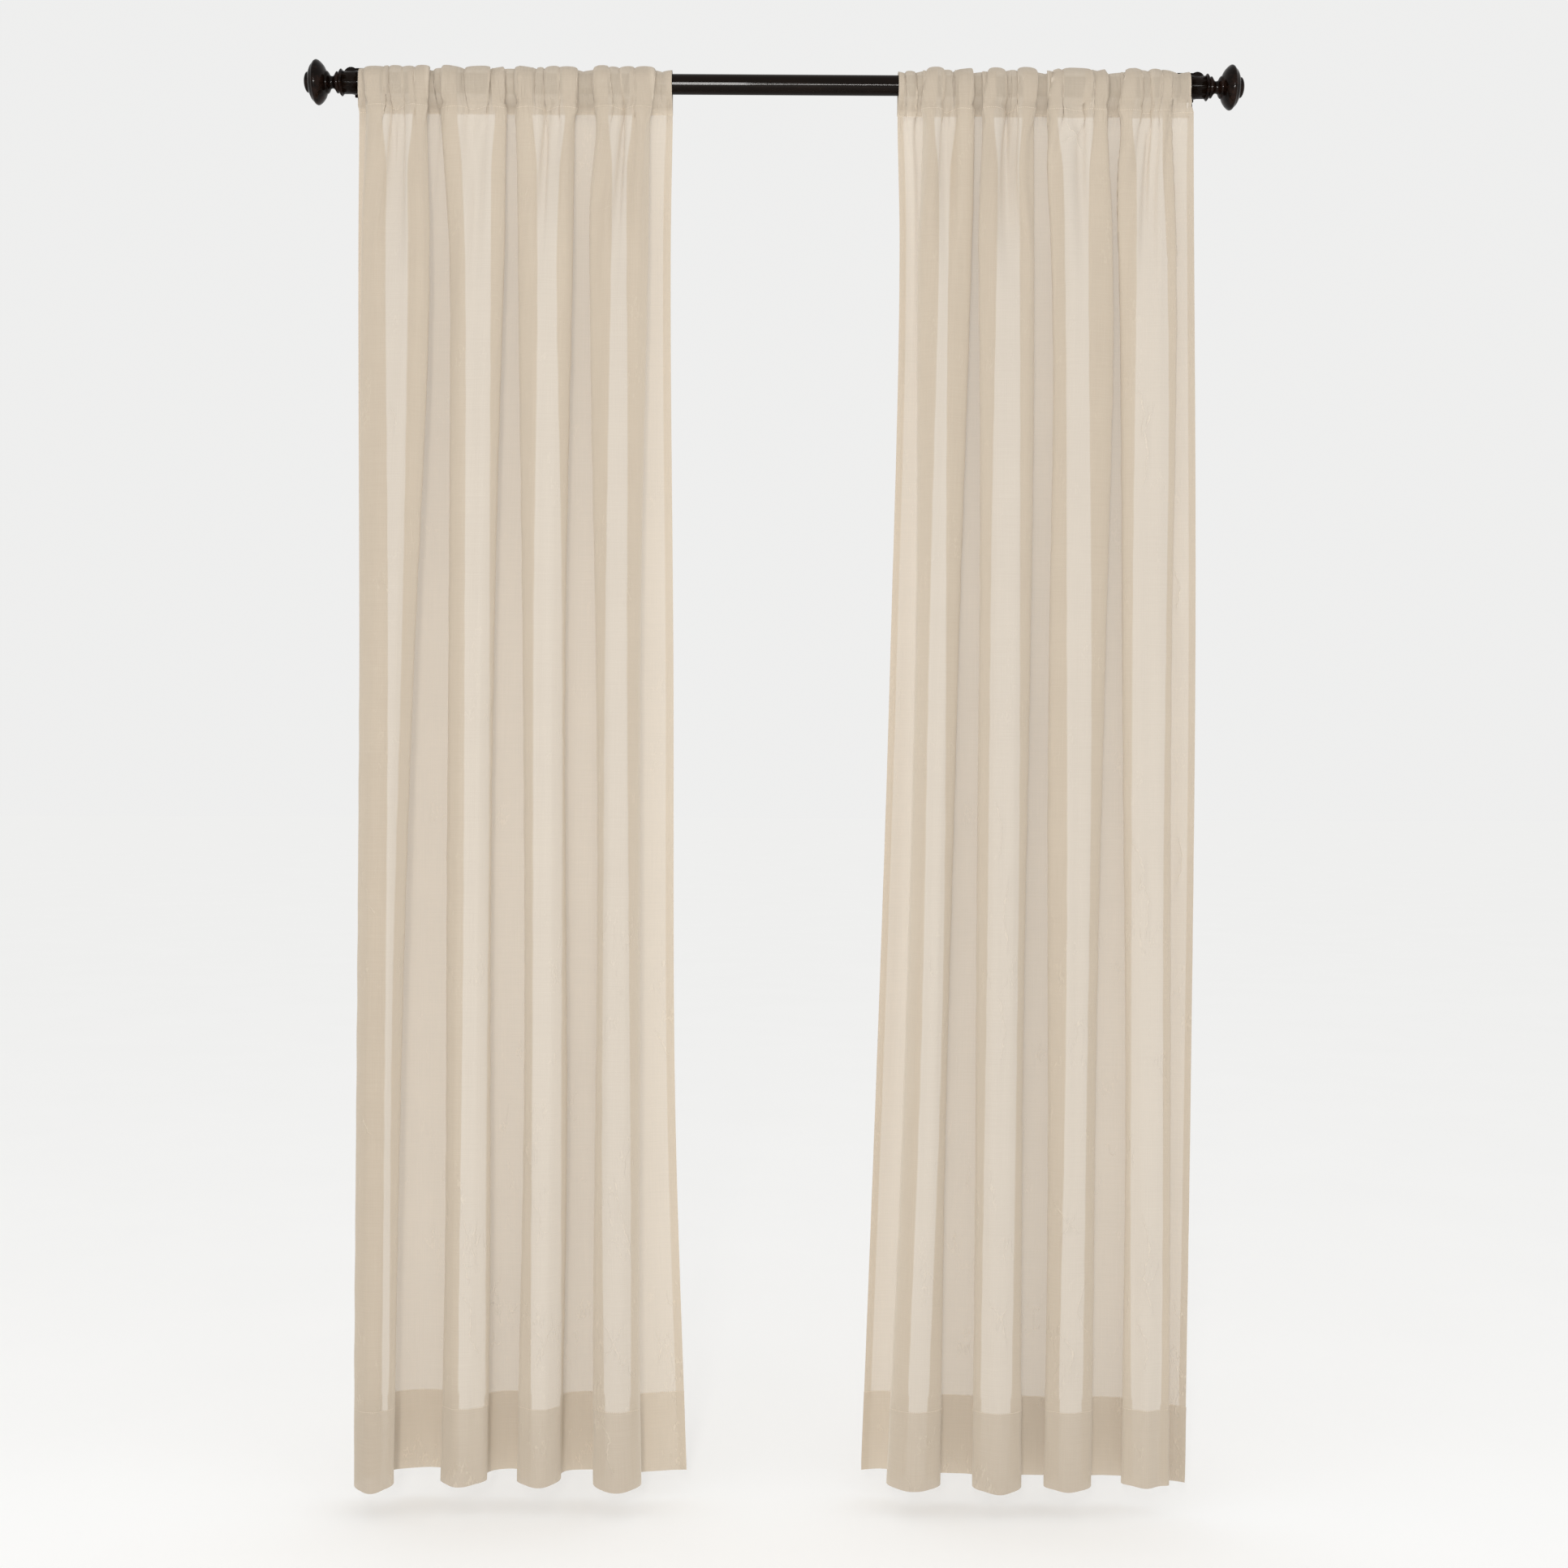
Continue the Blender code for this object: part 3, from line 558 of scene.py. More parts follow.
def crease_field(panel, rows, drops):
    """The creases on the front's rows.

    Three values for each point: the creases' height and the signed distance to the nearest crease's line, in
    millimetres, and how near that crease is, from 0 to 1.
    """
    field = np.zeros((len(drops), COLUMNS))
    far = np.full((len(drops), COLUMNS), FAR_FROM_CREASE)
    away = far
    columns = np.arange(COLUMNS)[None, :]
    down = drops[:, None]
    for crease in panel.creases:
        spots = []
        for place, drop in crease.points:
            row = rows[int(np.argmin(np.abs(drops - drop)))]
            spots.append((column_at(row, place), drop))
        row = rows[int(np.argmin(np.abs(drops - crease.points[0][1])))]
        pitch = step_lengths(row).sum() / (COLUMNS - 1)
        nearest = far
        for (a_column, a_drop), (b_column, b_drop) in zip(spots, spots[1:]):
            step = np.array([(b_column - a_column) * pitch, b_drop - a_drop])
            across = (columns - a_column) * pitch
            along = down - a_drop
            t = np.clip((across * step[0] + along * step[1]) / step.dot(step), 0, 1)
            gap = np.hypot(across - t * step[0], along - t * step[1])
            side = np.where(across * step[1] - along * step[0] < 0, -1.0, 1.0)
            nearest = np.where(gap < np.abs(nearest), gap * side, nearest)
        field += CREASE_RISE * crease.height * np.exp(-((nearest / crease.width) ** 2))
        away = np.where(np.abs(nearest) < np.abs(away), nearest, away)
    return field, away, np.exp(-((away / CREASE_NEAR) ** 2))


def unevenness(panel, width, drops):
    """Slow waves of the hanging cloth in millimetres, which no two folds share."""
    across = np.linspace(0, width, COLUMNS)[None, :]
    down = drops[:, None]
    phase = panel.phase
    bend = FLUTE_BEND * np.sin(down / FLUTE_BEND_DOWN + phase)
    flutes = FLUTE_HEIGHT * np.sin(across / FLUTE_ACROSS + bend + phase)
    sway = sum(w.height * np.sin(across / w.across + down / w.down + w.turn * phase) for w in SWAYS)
    bend = RIPPLE_BEND * np.sin(across / RIPPLE_BEND_ACROSS + phase)
    fade = np.sin(across / RIPPLE_FADE_ACROSS + down / RIPPLE_FADE_DOWN)
    ripple = RIPPLE_HEIGHT * np.sin(down / RIPPLE_DOWN + bend) * fade
    ends = ease((drops - WAVES_START) / WAVES_RUN)[:, None]
    return (flutes + sway + ripple) * ends


def depth_level(grid):
    """How deep each point lies in its row: 0 at the foremost face and 1 at the deepest neck."""
    depth = grid[:, :, 1]
    deepest = depth.max(axis=1, keepdims=True)
    foremost = depth.min(axis=1, keepdims=True)
    return (depth - foremost) / np.maximum(deepest - foremost, TINY)


def painted_inner_light_share(grid):
    """How far inside the folds each point lies: 1 where the cloth runs back behind a face. It masks the
    painted light inside the folds.
    """
    run = np.gradient(grid[:, :, 0], axis=1)
    back = ease((INNER_START - run / np.abs(run).mean()) / INNER_RANGE)
    return np.maximum(back, INNER_DEPTH_SHARE * depth_level(grid))


def hem_lift(grid, drops):
    """How far the cloth near the hem is raised at the bends of its folds, in millimetres."""
    bend = np.sin(math.pi * np.clip(depth_level(grid) / HEM_LIFT_DEPTH, 0, 1))
    return HEM_LIFT * bend * ease((drops - HEM_DROP + HEM_LIFT_RUN) / HEM_LIFT_RUN)[:, None]


def hem_pucker(width, drops):
    """Small puckers along the hem's stitch line, in millimetres."""
    across = np.linspace(0, width, COLUMNS)[None, :]
    away = (drops - (HEM_DROP - HEM_DEPTH))[:, None]
    wave = np.sin(across / PUCKER_ACROSS + np.sin(across / PUCKER_UNEVEN_ACROSS))
    return PUCKER_HEIGHT * wave * np.exp(-((away / PUCKER_REACH) ** 2))


def with_side_hems(values, offset=None):
    """The same rows with a turned-back strip at each side, which lies behind them by the offset."""
    n = SIDE_HEM_COLUMNS
    left = values[:, n:0:-1]
    right = values[:, -2 : -n - 2 : -1]
    if offset is not None:
        left = left - offset[:, n:0:-1]
        right = right - offset[:, -2 : -n - 2 : -1]
    return np.concatenate([left, values, right], axis=1)


def with_hem_back(values, offset=None):
    """The same columns with the bottom hem's back layer ahead of the first row."""
    back = values[HEM_ROWS:0:-1]
    if offset is not None:
        back = back - offset[HEM_ROWS:0:-1] * HEM_LAYER_SHARE
    return np.concatenate([back, values], axis=0)


def cloth_fields(grid, front_count, gather_edges, creases):
    """The values that the cloth's material reads, one for each point of the single layer.

    gather_edges and creases are pairs: the signed distance to the nearest line and how near it is. The
    gathers' lapped edges come first where both are given.
    """
    # How far the cloth turns from the room: it is denser there and has painted light on these edges
    turned = 1 - np.abs(grid_normals(grid)[:, :, 1])
    turned[front_count:] *= TURNED_ON_ROD
    # Painted light inside the folds, weaker on the rod
    painted_inner_light = painted_inner_light_share(grid)
    painted_inner_light[front_count:] = painted_inner_light[front_count - 1] * INNER_ON_ROD
    away = np.full(grid.shape[:2], FAR_FROM_CREASE)
    near = np.zeros(grid.shape[:2])
    away[:front_count], near[:front_count] = creases
    edge_away, edge_near = gather_edges
    lapped = edge_near.max(axis=1) > 0
    away[lapped] = edge_away[lapped]
    near[lapped] = edge_near[lapped]
    return {"turned": turned, "painted_inner_light": painted_inner_light, "crease near": near, "crease away": away}


def cloth_mesh(name, grid, length, fields):
    """A sheet through the grid's points, with the flat cloth as its UV map and the fields as attributes."""
    count_rows, count_columns = grid.shape[:2]
    hem_run = np.linspace(0, HEM_DEPTH, HEM_ROWS + 1)[:-1]
    v = np.concatenate([hem_run, HEM_DEPTH + length]) * MM
    u = np.linspace(0, FLAT_WIDTH, count_columns)
    corner = np.arange(count_rows * count_columns).reshape(count_rows, count_columns)
    faces = np.stack([corner[:-1, :-1], corner[:-1, 1:], corner[1:, 1:], corner[1:, :-1]], axis=2)
    mesh = bpy.data.meshes.new(name)
    mesh.from_pydata(grid.reshape(-1, 3).tolist(), [], faces.reshape(-1, 4).tolist())
    mesh.shade_smooth()
    mesh.set_sharp_from_angle(angle=math.radians(TURNED_HEM_ANGLE))
    uv = mesh.uv_layers.new(name="cloth")
    flat = np.stack(np.meshgrid(u, v), axis=2).reshape(-1, 2)
    loops = np.empty(len(mesh.loops), dtype=np.int32)
    mesh.loops.foreach_get("vertex_index", loops)
    uv.data.foreach_set("uv", flat[loops].ravel())
    for label, values in fields.items():
        layer = mesh.attributes.new(label, "FLOAT", "POINT")
        layer.data.foreach_set("value", values.ravel())
    return mesh


def make_panel(name, panel):
    """One sheet of voile with its double hems and its pocket, as a single open surface."""
    drops = body_drops()
    rows = front_rows(panel, drops)
    stitch = rows[-1]
    rows += pocket_rows(panel, stitch)
    grid = np.array(rows)
    front_count = len(drops)
    width = step_lengths(stitch).sum()

    steps = np.linalg.norm(np.diff(grid, axis=0), axis=2).mean(axis=1)
    length = np.concatenate([[0], np.cumsum(steps)])
    crown = front_count - 1 + POCKET_FRONT_ROWS + POCKET_ARC_ROWS // 2
    runs = length[crown] - length

    height, lap, *gather_edges = gather_field(panel, stitch, runs)
    crease_height, *creases = crease_field(panel, rows[:front_count], drops)
    height[:front_count] += crease_height
    height[:front_count] += unevenness(panel, width, drops)
    height[:front_count] += hem_pucker(width, drops)
    height[front_count + POCKET_FRONT_ROWS + POCKET_ARC_ROWS :] *= GATHERS_ON_BACK
    inside = np.minimum(grid[:, :, 0] + STITCH_END, STITCH_END - grid[:, :, 0])
    lap *= ease(inside / LAP_FREE_RUN)
    grid = grid + grid_normals(grid) * height[:, :, None] + grid_tangents(grid) * lap[:, :, None]
    grid[:front_count, :, 2] += hem_lift(grid[:front_count], drops)

    fields = cloth_fields(grid, front_count, gather_edges, creases)
    fields = {label: with_hem_back(with_side_hems(values)) for label, values in fields.items()}
    offset = grid_normals(grid) * LAYER_OFFSET
    grid = with_hem_back(with_side_hems(grid, offset), with_side_hems(offset))
    grid = (grid + np.array([0, -ROD_STANDOFF, 0])) * MM
    curtain = new_object(name, cloth_mesh(name, grid, length, fields))
    return curtain, stitch_lines(grid, front_count)


def stitch_lines(grid, front_count):
    """The two rows of points that the stitching follows: the hem's and the pocket's."""
    normals = grid_normals(grid)
    n = SIDE_HEM_COLUMNS
    lines = []
    for row in (2 * HEM_ROWS, HEM_ROWS + front_count - 1):
        raised = grid[row] + normals[row] * THREAD_RADIUS * THREAD_LIFT
        lines.append(raised[n : len(raised) - n])
    return lines


def new_object(name, data):
    """An object at the origin that shows this mesh, light or camera."""
    made = bpy.data.objects.new(name, data)
    bpy.context.collection.objects.link(made)
    return made


def stitch_tree():
    """Geometry nodes that lay one thread stitch at every step along a line."""
    tree = bpy.data.node_groups.new("stitches along a line", "GeometryNodeTree")
    face = tree.interface
    face.new_socket("Geometry", in_out="INPUT", socket_type="NodeSocketGeometry")
    for label in ("Stitch Length", "Stitch Pitch", "Thread Radius"):
        face.new_socket(label, in_out="INPUT", socket_type="NodeSocketFloat")
    face.new_socket("Thread", in_out="INPUT", socket_type="NodeSocketMaterial")
    face.new_socket("Geometry", in_out="OUTPUT", socket_type="NodeSocketGeometry")
    nodes = tree.nodes
    given = nodes.new("NodeGroupInput")
    made = nodes.new("NodeGroupOutput")
    to_curve = nodes.new("GeometryNodeMeshToCurve")
    points = nodes.new("GeometryNodeCurveToPoints")
    points.mode = "LENGTH"
    bead = nodes.new("GeometryNodeMeshUVSphere")
    bead.inputs["Segments"].default_value = BEAD_SEGMENTS
    bead.inputs["Rings"].default_value = BEAD_RINGS
    bead.inputs["Radius"].default_value = 1.0
    half = nodes.new("ShaderNodeMath")
    half.operation = "MULTIPLY"
    half.inputs[1].default_value = 0.5
    size = nodes.new("ShaderNodeCombineXYZ")
    place = nodes.new("GeometryNodeInstanceOnPoints")
    realize = nodes.new("GeometryNodeRealizeInstances")
    paint = nodes.new("GeometryNodeSetMaterial")
    wires = (
        (given, "Geometry", to_curve, "Mesh"),
        (to_curve, "Curve", points, "Curve"),
        (given, "Stitch Pitch", points, "Length"),
        (given, "Stitch Length", half, 0),
        (given, "Thread Radius", size, "X"),
        (given, "Thread Radius", size, "Y"),
        (half, 0, size, "Z"),
        (points, "Points", place, "Points"),
        (bead, "Mesh", place, "Instance"),
        (points, "Rotation", place, "Rotation"),
        (size, "Vector", place, "Scale"),
        (place, "Instances", realize, "Geometry"),
        (realize, "Geometry", paint, "Geometry"),
        (given, "Thread", paint, "Material"),
        (paint, "Geometry", made, "Geometry"),
    )
    for source, given_by, target, taken_by in wires:
        tree.links.new(source.outputs[given_by], target.inputs[taken_by])
    return tree


def set_input(modifier, label, value):
    """Set a node modifier's input by its socket's identifier."""
    for item in modifier.node_group.interface.items_tree:
        if item.item_type == "SOCKET" and item.in_out == "INPUT" and item.name == label:
            modifier[item.identifier] = value


def plain_mesh(obj, name):
    """The evaluated object as a new object with a plain mesh."""
    graph = bpy.context.evaluated_depsgraph_get()
    mesh = bpy.data.meshes.new_from_object(obj.evaluated_get(graph))
    mesh.name = name
    bpy.data.objects.remove(obj)
    return new_object(name, mesh)


def make_stitches(name, lines, tree, thread):
    """Stitches along the hem and the pocket of one panel."""
    mesh = bpy.data.meshes.new(name + "_lines")
    points = []
    edges = []
    for line in lines:
        first = len(points)
        points.extend(map(tuple, line))
        edges.extend((first + i, first + i + 1) for i in range(len(line) - 1))
    mesh.from_pydata(points, edges, [])
    guide = new_object(name + "_lines", mesh)
    modifier = guide.modifiers.new("stitches", "NODES")
    modifier.node_group = tree
    set_input(modifier, "Stitch Length", STITCH_LENGTH)
    set_input(modifier, "Stitch Pitch", STITCH_PITCH)
    set_input(modifier, "Thread Radius", THREAD_RADIUS)
    set_input(modifier, "Thread", thread)
    stitches = plain_mesh(guide, name)
    stitches.data.shade_smooth()
    return stitches


def smooth_object(name, mesh, shape, edge):
    """An object of this shape, smooth but for edges sharper than this angle."""
    shape.to_mesh(mesh)
    shape.free()
    mesh.shade_smooth()
    mesh.set_sharp_from_angle(angle=edge)
    return new_object(name, mesh)


def make_rod():
    """The round rod, smooth all round, with flat ends."""
    mesh = bpy.data.meshes.new("rod_tube")
    shape = bmesh.new()
    bmesh.ops.create_cone(
        shape, cap_ends=True, segments=ROD_SIDES, radius1=ROD_RADIUS * MM, radius2=ROD_RADIUS * MM,
        depth=2 * ROD_HALF_LENGTH * MM,
    )
    for v in shape.verts:
        v.co = Vector((v.co.z, v.co.y - ROD_STANDOFF * MM, -v.co.x))
    return smooth_object("rod_tube", mesh, shape, ROD_EDGE)


def make_finial(name, side):
    """A turned knob, lathed from its outline. side is -1 at the left and 1 at the right."""
    outline = smooth_route(np.array(((0.0, 0.0),) + FINIAL_OUTLINE, dtype=float), FINIAL_STEPS)
    outline[:, 1] = np.maximum(outline[:, 1], 0.0)
    outline[:, 0] = np.clip(outline[:, 0], 0.0, FINIAL_OUTLINE[-1][0])
    angles = np.linspace(0, 2 * math.pi, FINIAL_SIDES, endpoint=False)
    base = ROD_HALF_LENGTH + SEAT_GAP
    points = []
    for offset, radius in outline:
        x = side * (base + offset) * MM
        for angle in angles:
            y = (radius * math.cos(angle) - ROD_STANDOFF) * MM
            points.append((x, y, radius * math.sin(angle) * MM))
    faces = []
    for r in range(len(outline) - 1):
        for k in range(FINIAL_SIDES):
            a = r * FINIAL_SIDES + k
            b = r * FINIAL_SIDES + (k + 1) % FINIAL_SIDES
            faces.append((a, b, b + FINIAL_SIDES, a + FINIAL_SIDES))
    mesh = bpy.data.meshes.new(name)
    mesh.from_pydata(points, [], faces)
    shape = bmesh.new()
    shape.from_mesh(mesh)
    bmesh.ops.remove_doubles(shape, verts=shape.verts, dist=MERGE_DISTANCE)
    bmesh.ops.recalc_face_normals(shape, faces=shape.faces)
    return smooth_object(name, mesh, shape, FINIAL_EDGE)


def smooth_copy(name, node):
    """A copy of a solid with its points joined, so that its round stretches shade smoothly."""
    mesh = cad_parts[node].data.copy()
    mesh.name = name
    shape = bmesh.new()
    shape.from_mesh(mesh)
    bmesh.ops.remove_doubles(shape, verts=shape.verts, dist=MERGE_DISTANCE)
    return smooth_object(name, mesh, shape, BRACKET_EDGE)


class Maker:
    """Short calls for the nodes of one material."""

    def __init__(self, name):
        self.material = bpy.data.materials.new(name)
        self.material.use_nodes = True
        self.tree = self.material.node_tree
        self.shader = self.tree.nodes["Principled BSDF"]

    def put(self, socket, value):
        if isinstance(value, bpy.types.NodeSocket):
            self.tree.links.new(value, socket)
        else:
            socket.default_value = value

    def node(self, kind, inputs=(), **settings):
        made = self.tree.nodes.new(kind)
        for key, value in settings.items():
            setattr(made, key, value)
        for key, value in dict(inputs).items():
            self.put(made.inputs[key], value)
        return made

    def attribute(self, label):
        return self.node("ShaderNodeAttribute", attribute_name=label).outputs["Fac"]

    def math(self, operation, a, b=0.0, clamp=False):
        return self.node("ShaderNodeMath", {0: a, 1: b}, operation=operation, use_clamp=clamp).outputs[0]

    def ramp(self, value, low, high, to_low=0.0, to_high=1.0):
        inputs = {"Value": value, "From Min": low, "From Max": high, "To Min": to_low, "To Max": to_high}
        return self.node("ShaderNodeMapRange", inputs, clamp=True).outputs[0]

    def blend(self, share, a, b):
        made = self.node("ShaderNodeMix", data_type="RGBA")
        self.put(made.inputs[0], share)
        self.put(made.inputs[6], a)
        self.put(made.inputs[7], b)
        return made.outputs[2]

    def noise(self, vector, scale, detail=2.0, roughness=0.5):
        inputs = {"Vector": vector, "Scale": scale, "Detail": detail, "Roughness": roughness}
        return self.node("ShaderNodeTexNoise", inputs).outputs[0]

    def stretched(self, vector, scale):
        return self.node("ShaderNodeMapping", {"Vector": vector, "Scale": scale}).outputs[0]

    def bump(self, height, strength, distance, below=None):
        inputs = {"Height": height, "Strength": strength, "Distance": distance}
        made = self.node("ShaderNodeBump", inputs)
        if below is not None:
            self.put(made.inputs["Normal"], below)
        return made.outputs[0]

    def finish(self, **values):
        for label, value in values.items():
            self.put(self.shader.inputs[label.replace("_", " ").title().replace("Ior", "IOR")], value)
        return self.material


# Voile: one layer's own colour; a paler colour, which its pale yarns and cloudy places have and which is
# also painted as light inside the folds and as highlights on the crinkles; a painted light colour where it
# turns away, on the folds' edges; and how much of what is behind it the weave covers, facing and turned away
VOILE_COLOUR = (0.465, 0.395, 0.315, 1.0)
VOILE_PALE_AND_PAINTED_LIGHT = (0.71, 0.62, 0.50, 1.0)
VOILE_PAINTED_EDGE_LIGHT = (0.75, 0.67, 0.56, 1.0)
EDGE_POWER = 1.5
VOILE_COVER = 0.78
TURNED_COVER = 0.14
# The cloth scatters what falls on it onwards, so it holds back less of the lamps' light than it covers
SHADOW_SHARE = 0.3
# The weave's pitch in metres, and the cells to the metre, across and down, of the yarns' uneven places
YARN_PITCH = 0.00042
SLUBS_ACROSS = (14.0, 900.0, 1.0)
SLUBS_DOWN = (900.0, 10.0, 1.0)
CLOUD_CELLS = 9.0
# Scattered crinkles: cells of their lines, of the gaps in them and of their patches. They are strong up to
# the low height above the hem, in metres, and weak from the high one.
CRINKLE_CELLS = (48.0, 16.0, 1.0)
CRINKLE_LINE = 0.02
CRINKLE_GAP_CELLS = (24.0, 12.0, 1.0)
CRINKLE_PATCH_CELLS = (13.0, 5.0, 1.0)
CRINKLES_LOW = 0.6
CRINKLES_HIGH = 1.3
STRONG_BELOW = 0.9
WEAK_ABOVE = 0.35
# Listed creases and lapped edges: a painted highlight line, in millimetres, that wanders a little
CREASE_LINE = 0.3
CREASE_LINE_SOFT = 1.3
CREASE_WANDER = 2.0
CREASE_WANDER_CELLS = (90.0, 60.0, 1.0)
# How much lighter and denser yarns, cloudy places and crinkles make the cloth. The crinkles' lightening is a
# painted highlight.
YARN_TONE = 0.07
CLOUD_TONE = 0.06
CRINKLE_HIGHLIGHT_TONE = 0.3
YARN_COVER = 0.015
CRINKLE_COVER = 0.06
# The cloth is scrunched into fine wrinkles from this far above its hem's raw edge, in metres along it
SCRUNCH_START = 2.165
SCRUNCH_FULL = 2.185
SCRUNCH_CELLS = (75.0, 10.0, 1.0)

THREAD_DARK = (0.70, 0.59, 0.46, 1.0)
THREAD_PALE = (0.80, 0.71, 0.59, 1.0)
THREAD_TWIST = (2500.0, 2500.0, 2500.0)

# Bronze finishes: the dark lacquer, the warm metal that shows in worn places and how much of it does, how
# rough the lacquer is, how glossy its coat is and how far the worn places are drawn out along the rod
Finish = namedtuple("Finish", "name dark warm wear roughness coat streak")
ROD_FINISH = Finish(
    "glossy dark bronze", (0.004, 0.002, 0.001, 1), (0.012, 0.005, 0.003, 1), 0.5, 0.14, 0.14, 0.2
)
KNOB_FINISH = Finish(
    "rubbed dark bronze", (0.003, 0.0015, 0.001, 1), (0.026, 0.012, 0.008, 1), 0.6, 0.2, 0.12, 1.0
)
BRACKET_FINISH = Finish(
    "satin dark bronze", (0.004, 0.002, 0.001, 1), (0.014, 0.007, 0.005, 1), 0.5, 0.2, 0.08, 1.0
)
WORN_ALONG = 38.0
WORN_ACROSS = 90.0
SPECK_CELLS = 900.0
SPECK_WEAR = 0.8
COAT_ROUGHNESS = 0.05


def crinkle_lines(m, cloth, height):
    """Fine crinkles, the scattered ones and the lines of the creases and the lapped edges: their mask paints
    pale highlights along the ridges, and also raises them and makes the cloth denser.
    """
    crackle = m.noise(m.stretched(cloth, CRINKLE_CELLS), 1.0, 3.0, 0.6)
    away_from_line = m.math("ABSOLUTE", m.math("SUBTRACT", crackle, 0.5))
    ridges = m.ramp(away_from_line, 0.0, CRINKLE_LINE, 1.0, 0.0)
    broken = m.ramp(m.noise(m.stretched(cloth, CRINKLE_GAP_CELLS), 1.0, 1.0), 0.53, 0.6)
    patches = m.ramp(m.noise(m.stretched(cloth, CRINKLE_PATCH_CELLS), 1.0, 1.0), 0.46, 0.56)
    low = m.ramp(height, CRINKLES_LOW, CRINKLES_HIGH, STRONG_BELOW, WEAK_ABOVE)
    strength = m.math("MULTIPLY", patches, low)
    scattered = m.math("MULTIPLY", m.math("MULTIPLY", ridges, broken), strength)
    uneven = m.noise(m.stretched(cloth, CREASE_WANDER_CELLS), 1.0, 2.0)
    wander = m.ramp(uneven, 0.3, 0.7, -CREASE_WANDER, CREASE_WANDER)
    apart = m.math("ABSOLUTE", m.math("ADD", m.attribute("crease away"), wander))
    line = m.ramp(apart, CREASE_LINE, CREASE_LINE_SOFT, 1.0, 0.0)
    return m.math("MAXIMUM", scattered, m.math("MULTIPLY", line, m.attribute("crease near")))


def voile_cover(m, turned, yarns, crinkles):
    """How much the cloth covers: more where it turns away, and less for the light of the lamps."""
    cover = m.math("ADD", VOILE_COVER, m.math("MULTIPLY", turned, TURNED_COVER))
    cover = m.math("ADD", cover, m.ramp(yarns, 0.35, 0.65, -YARN_COVER, YARN_COVER))
    cover = m.math("ADD", cover, m.math("MULTIPLY", crinkles, CRINKLE_COVER), clamp=True)
    shadow = m.node("ShaderNodeLightPath").outputs["Is Shadow Ray"]
    return m.math("MULTIPLY", cover, m.ramp(shadow, 0.0, 1.0, 1.0, SHADOW_SHARE))


def voile_material():
    """Plain weave with uneven yarns, see-through between them, denser where the cloth turns away, with
    painted light inside the folds and on their turned edges, and painted highlights along the crinkles.
    """
    m = Maker("beige voile weave")
    cloth = m.node("ShaderNodeUVMap", uv_map="cloth").outputs[0]
    split = m.node("ShaderNodeSeparateXYZ", {0: cloth})
    across, height = split.outputs[0], split.outputs[1]
    turned = m.attribute("turned")
    slubs_across = m.noise(m.stretched(cloth, SLUBS_ACROSS), 1.0, 3.0, 0.6)
    slubs_down = m.noise(m.stretched(cloth, SLUBS_DOWN), 1.0, 3.0, 0.6)
    yarns = m.math("MULTIPLY", m.math("ADD", slubs_across, slubs_down), 0.5)
    clouds = m.noise(cloth, CLOUD_CELLS, 2.0, 0.5)
    crinkles = crinkle_lines(m, cloth, height)

    yarn_tone = m.ramp(yarns, 0.35, 0.65, 0.0, YARN_TONE)
    lighter = m.math("ADD", yarn_tone, m.ramp(clouds, 0.3, 0.7, 0.0, CLOUD_TONE))
    # Painted highlights along the crinkles
    lighter = m.math("ADD", lighter, m.math("MULTIPLY", crinkles, CRINKLE_HIGHLIGHT_TONE))
    # Painted light inside the folds, standing in for light that reaches the cloth there
    lighter = m.math("ADD", lighter, m.attribute("painted_inner_light"), clamp=True)
    colour = m.blend(lighter, VOILE_COLOUR, VOILE_PALE_AND_PAINTED_LIGHT)
    # Painted light on the folds' turned edges
    colour = m.blend(m.math("POWER", turned, EDGE_POWER), colour, VOILE_PAINTED_EDGE_LIGHT)

    wave = 2 * math.pi / YARN_PITCH
    warp = m.math("SINE", m.math("MULTIPLY", across, wave))
    weft = m.math("SINE", m.math("MULTIPLY", height, wave))
    relief = m.bump(m.math("MULTIPLY", warp, weft), 0.25, 0.00008)
    relief = m.bump(yarns, 0.35, 0.0003, relief)
    relief = m.bump(crinkles, 0.6, 0.001, relief)
    scrunch = m.noise(m.stretched(cloth, SCRUNCH_CELLS), 1.0, 3.0, 0.6)
    heading = m.ramp(height, SCRUNCH_START, SCRUNCH_FULL)
    relief = m.bump(m.math("MULTIPLY", scrunch, heading), 0.8, 0.006, relief)
    return m.finish(
        base_color=colour, alpha=voile_cover(m, turned, yarns, crinkles), normal=relief, roughness=0.75,
        specular_ior_level=0.2, sheen_weight=0.1, sheen_roughness=0.45, sheen_tint=(1.0, 0.93, 0.84, 1.0),
    )


def thread_material():
    """Twisted polyester thread, a shade paler than the cloth."""
    m = Maker("pale beige thread")
    place = m.node("ShaderNodeTexCoord").outputs["Object"]
    twist = m.noise(m.stretched(place, THREAD_TWIST), 1.0, 2.0)
    colour = m.blend(m.ramp(twist, 0.35, 0.65), THREAD_DARK, THREAD_PALE)
    return m.finish(base_color=colour, roughness=0.55, sheen_weight=0.2)


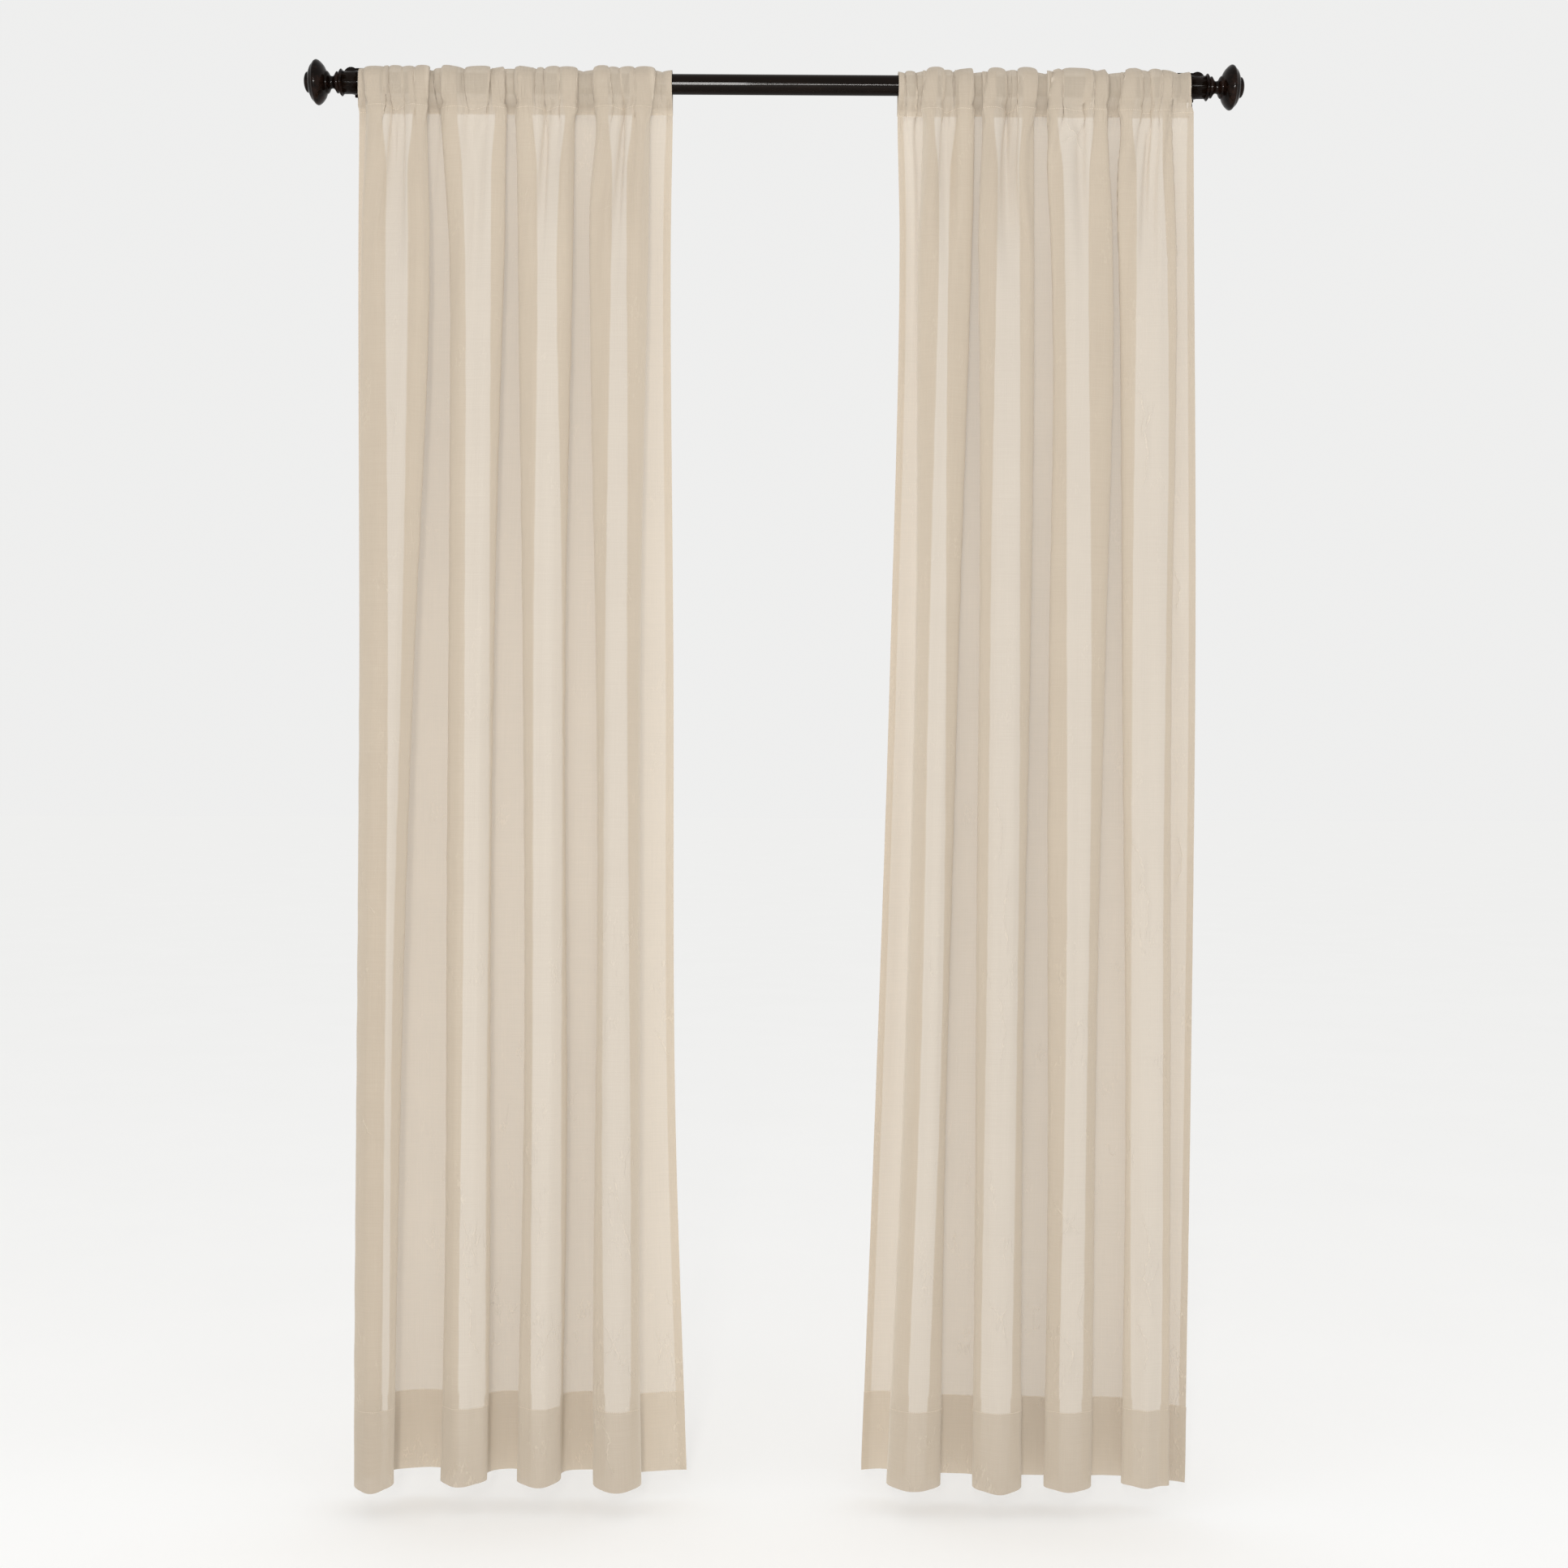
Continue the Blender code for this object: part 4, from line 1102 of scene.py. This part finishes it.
def bronze_material(finish):
    """Dark oil-rubbed bronze: brown lacquer over metal, with soft mottling and fine wear in its gloss."""
    m = Maker(finish.name)
    place = m.node("ShaderNodeTexCoord").outputs["Object"]
    cells = (WORN_ALONG * finish.streak, WORN_ACROSS, WORN_ACROSS)
    patches = m.noise(m.stretched(place, cells), 1.0, 4.0, 0.6)
    specks = m.noise(place, SPECK_CELLS, 3.0, 0.7)
    rubbed = m.math("MULTIPLY", m.ramp(patches, 0.45, 0.75), finish.wear)
    speckled = m.math("MULTIPLY", m.ramp(specks, 0.58, 0.72), finish.wear * SPECK_WEAR)
    colour = m.blend(m.math("ADD", rubbed, speckled, clamp=True), finish.dark, finish.warm)
    gloss = m.ramp(patches, 0.3, 0.7, finish.roughness * 0.85, finish.roughness * 1.3)
    relief = m.bump(specks, 0.12, 0.0003)
    return m.finish(
        base_color=colour, roughness=gloss, normal=relief, specular_ior_level=0.03,
        coat_weight=finish.coat, coat_roughness=COAT_ROUGHNESS,
    )


def floor_material():
    """Matt pale floor with a faint glow, so that it meets the surround without a line."""
    m = Maker("pale floor")
    place = m.node("ShaderNodeTexCoord").outputs["Object"]
    tone = m.noise(place, 3.0, 2.0)
    colour = m.blend(tone, (0.79, 0.79, 0.785, 1.0), (0.81, 0.81, 0.805, 1.0))
    return m.finish(
        base_color=colour, roughness=0.9, specular_ior_level=0.0, emission_color=(1, 1, 1, 1),
        emission_strength=FLOOR_GLOW,
    )


def dress(piece, material, node=None):
    """Give a piece its material, fix it to the frame and hide the solid that it stands for."""
    piece.data.materials.clear()
    piece.data.materials.append(material)
    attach(piece, "root")
    if node is not None:
        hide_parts(node)


def make_light(lamp):
    """A flat oblong lamp, turned to the point that it is aimed at."""
    data = bpy.data.lights.new(lamp.name, "AREA")
    data.shape = "RECTANGLE"
    data.size, data.size_y = lamp.size
    data.energy = lamp.energy
    data.color = lamp.colour
    light = new_object(lamp.name, data)
    light.location = lamp.place
    light.rotation_euler = (Vector(lamp.aim) - Vector(lamp.place)).to_track_quat("-Z", "Y").to_euler()
    return light


def make_studio():
    """Pale floor just under the hem, a pale surround, and a tall lamp and a long strip in front."""
    floor = bpy.data.meshes.new("floor")
    corners = [(-1, -1), (1, -1), (1, 1), (-1, 1)]
    points = [(x * FLOOR_HALF, y * FLOOR_HALF, -FLOOR_DROP) for x, y in corners]
    floor.from_pydata(points, [], [(0, 1, 2, 3)])
    ground = new_object("floor", floor)
    floor.materials.append(floor_material())
    world = bpy.data.worlds.new("studio")
    world.use_nodes = True
    world.node_tree.nodes["Background"].inputs["Color"].default_value = SURROUND
    world.node_tree.nodes["Background"].inputs["Strength"].default_value = 1.0
    bpy.context.scene.world = world
    make_light(TALL_LAMP)
    strip = make_light(STRIP_LAMP)
    strip.visible_diffuse = False
    strip.visible_transmission = False
    bpy.context.scene.view_settings.view_transform = "Standard"


def make_camera():
    """A level camera in front of the curtain, turned by the photo's slight yaw and roll."""
    data = bpy.data.cameras.new("camera")
    data.lens = CAMERA_LENS
    data.sensor_width = CAMERA_SENSOR
    camera = new_object("camera", data)
    yaw = math.radians(CAMERA_YAW)
    ahead = Vector((-math.sin(yaw), math.cos(yaw), 0))
    camera.location = CAMERA_AIM - CAMERA_DISTANCE * ahead
    camera.rotation_euler = (math.pi / 2, math.radians(CAMERA_ROLL), yaw)
    bpy.context.scene.camera = camera


def main():
    make_camera()
    voile = voile_material()
    thread = thread_material()
    rod_finish = bronze_material(ROD_FINISH)
    knob_finish = bronze_material(KNOB_FINISH)
    bracket_finish = bronze_material(BRACKET_FINISH)
    tree = stitch_tree()
    for side, panel in (("left", LEFT_PANEL), ("right", RIGHT_PANEL)):
        curtain, lines = make_panel("voile_" + side, panel)
        stitches = make_stitches("stitches_" + side, lines, tree, thread)
        dress(curtain, voile, "curtain_" + side)
        dress(stitches, thread)
    dress(make_rod(), rod_finish, "rod")
    for side, sign in (("left", -1), ("right", 1)):
        dress(make_finial("knob_" + side, sign), knob_finish, "finial_" + side)
        node = "bracket_" + side
        dress(smooth_copy("wall_" + node, node), bracket_finish, node)
    make_studio()


main()
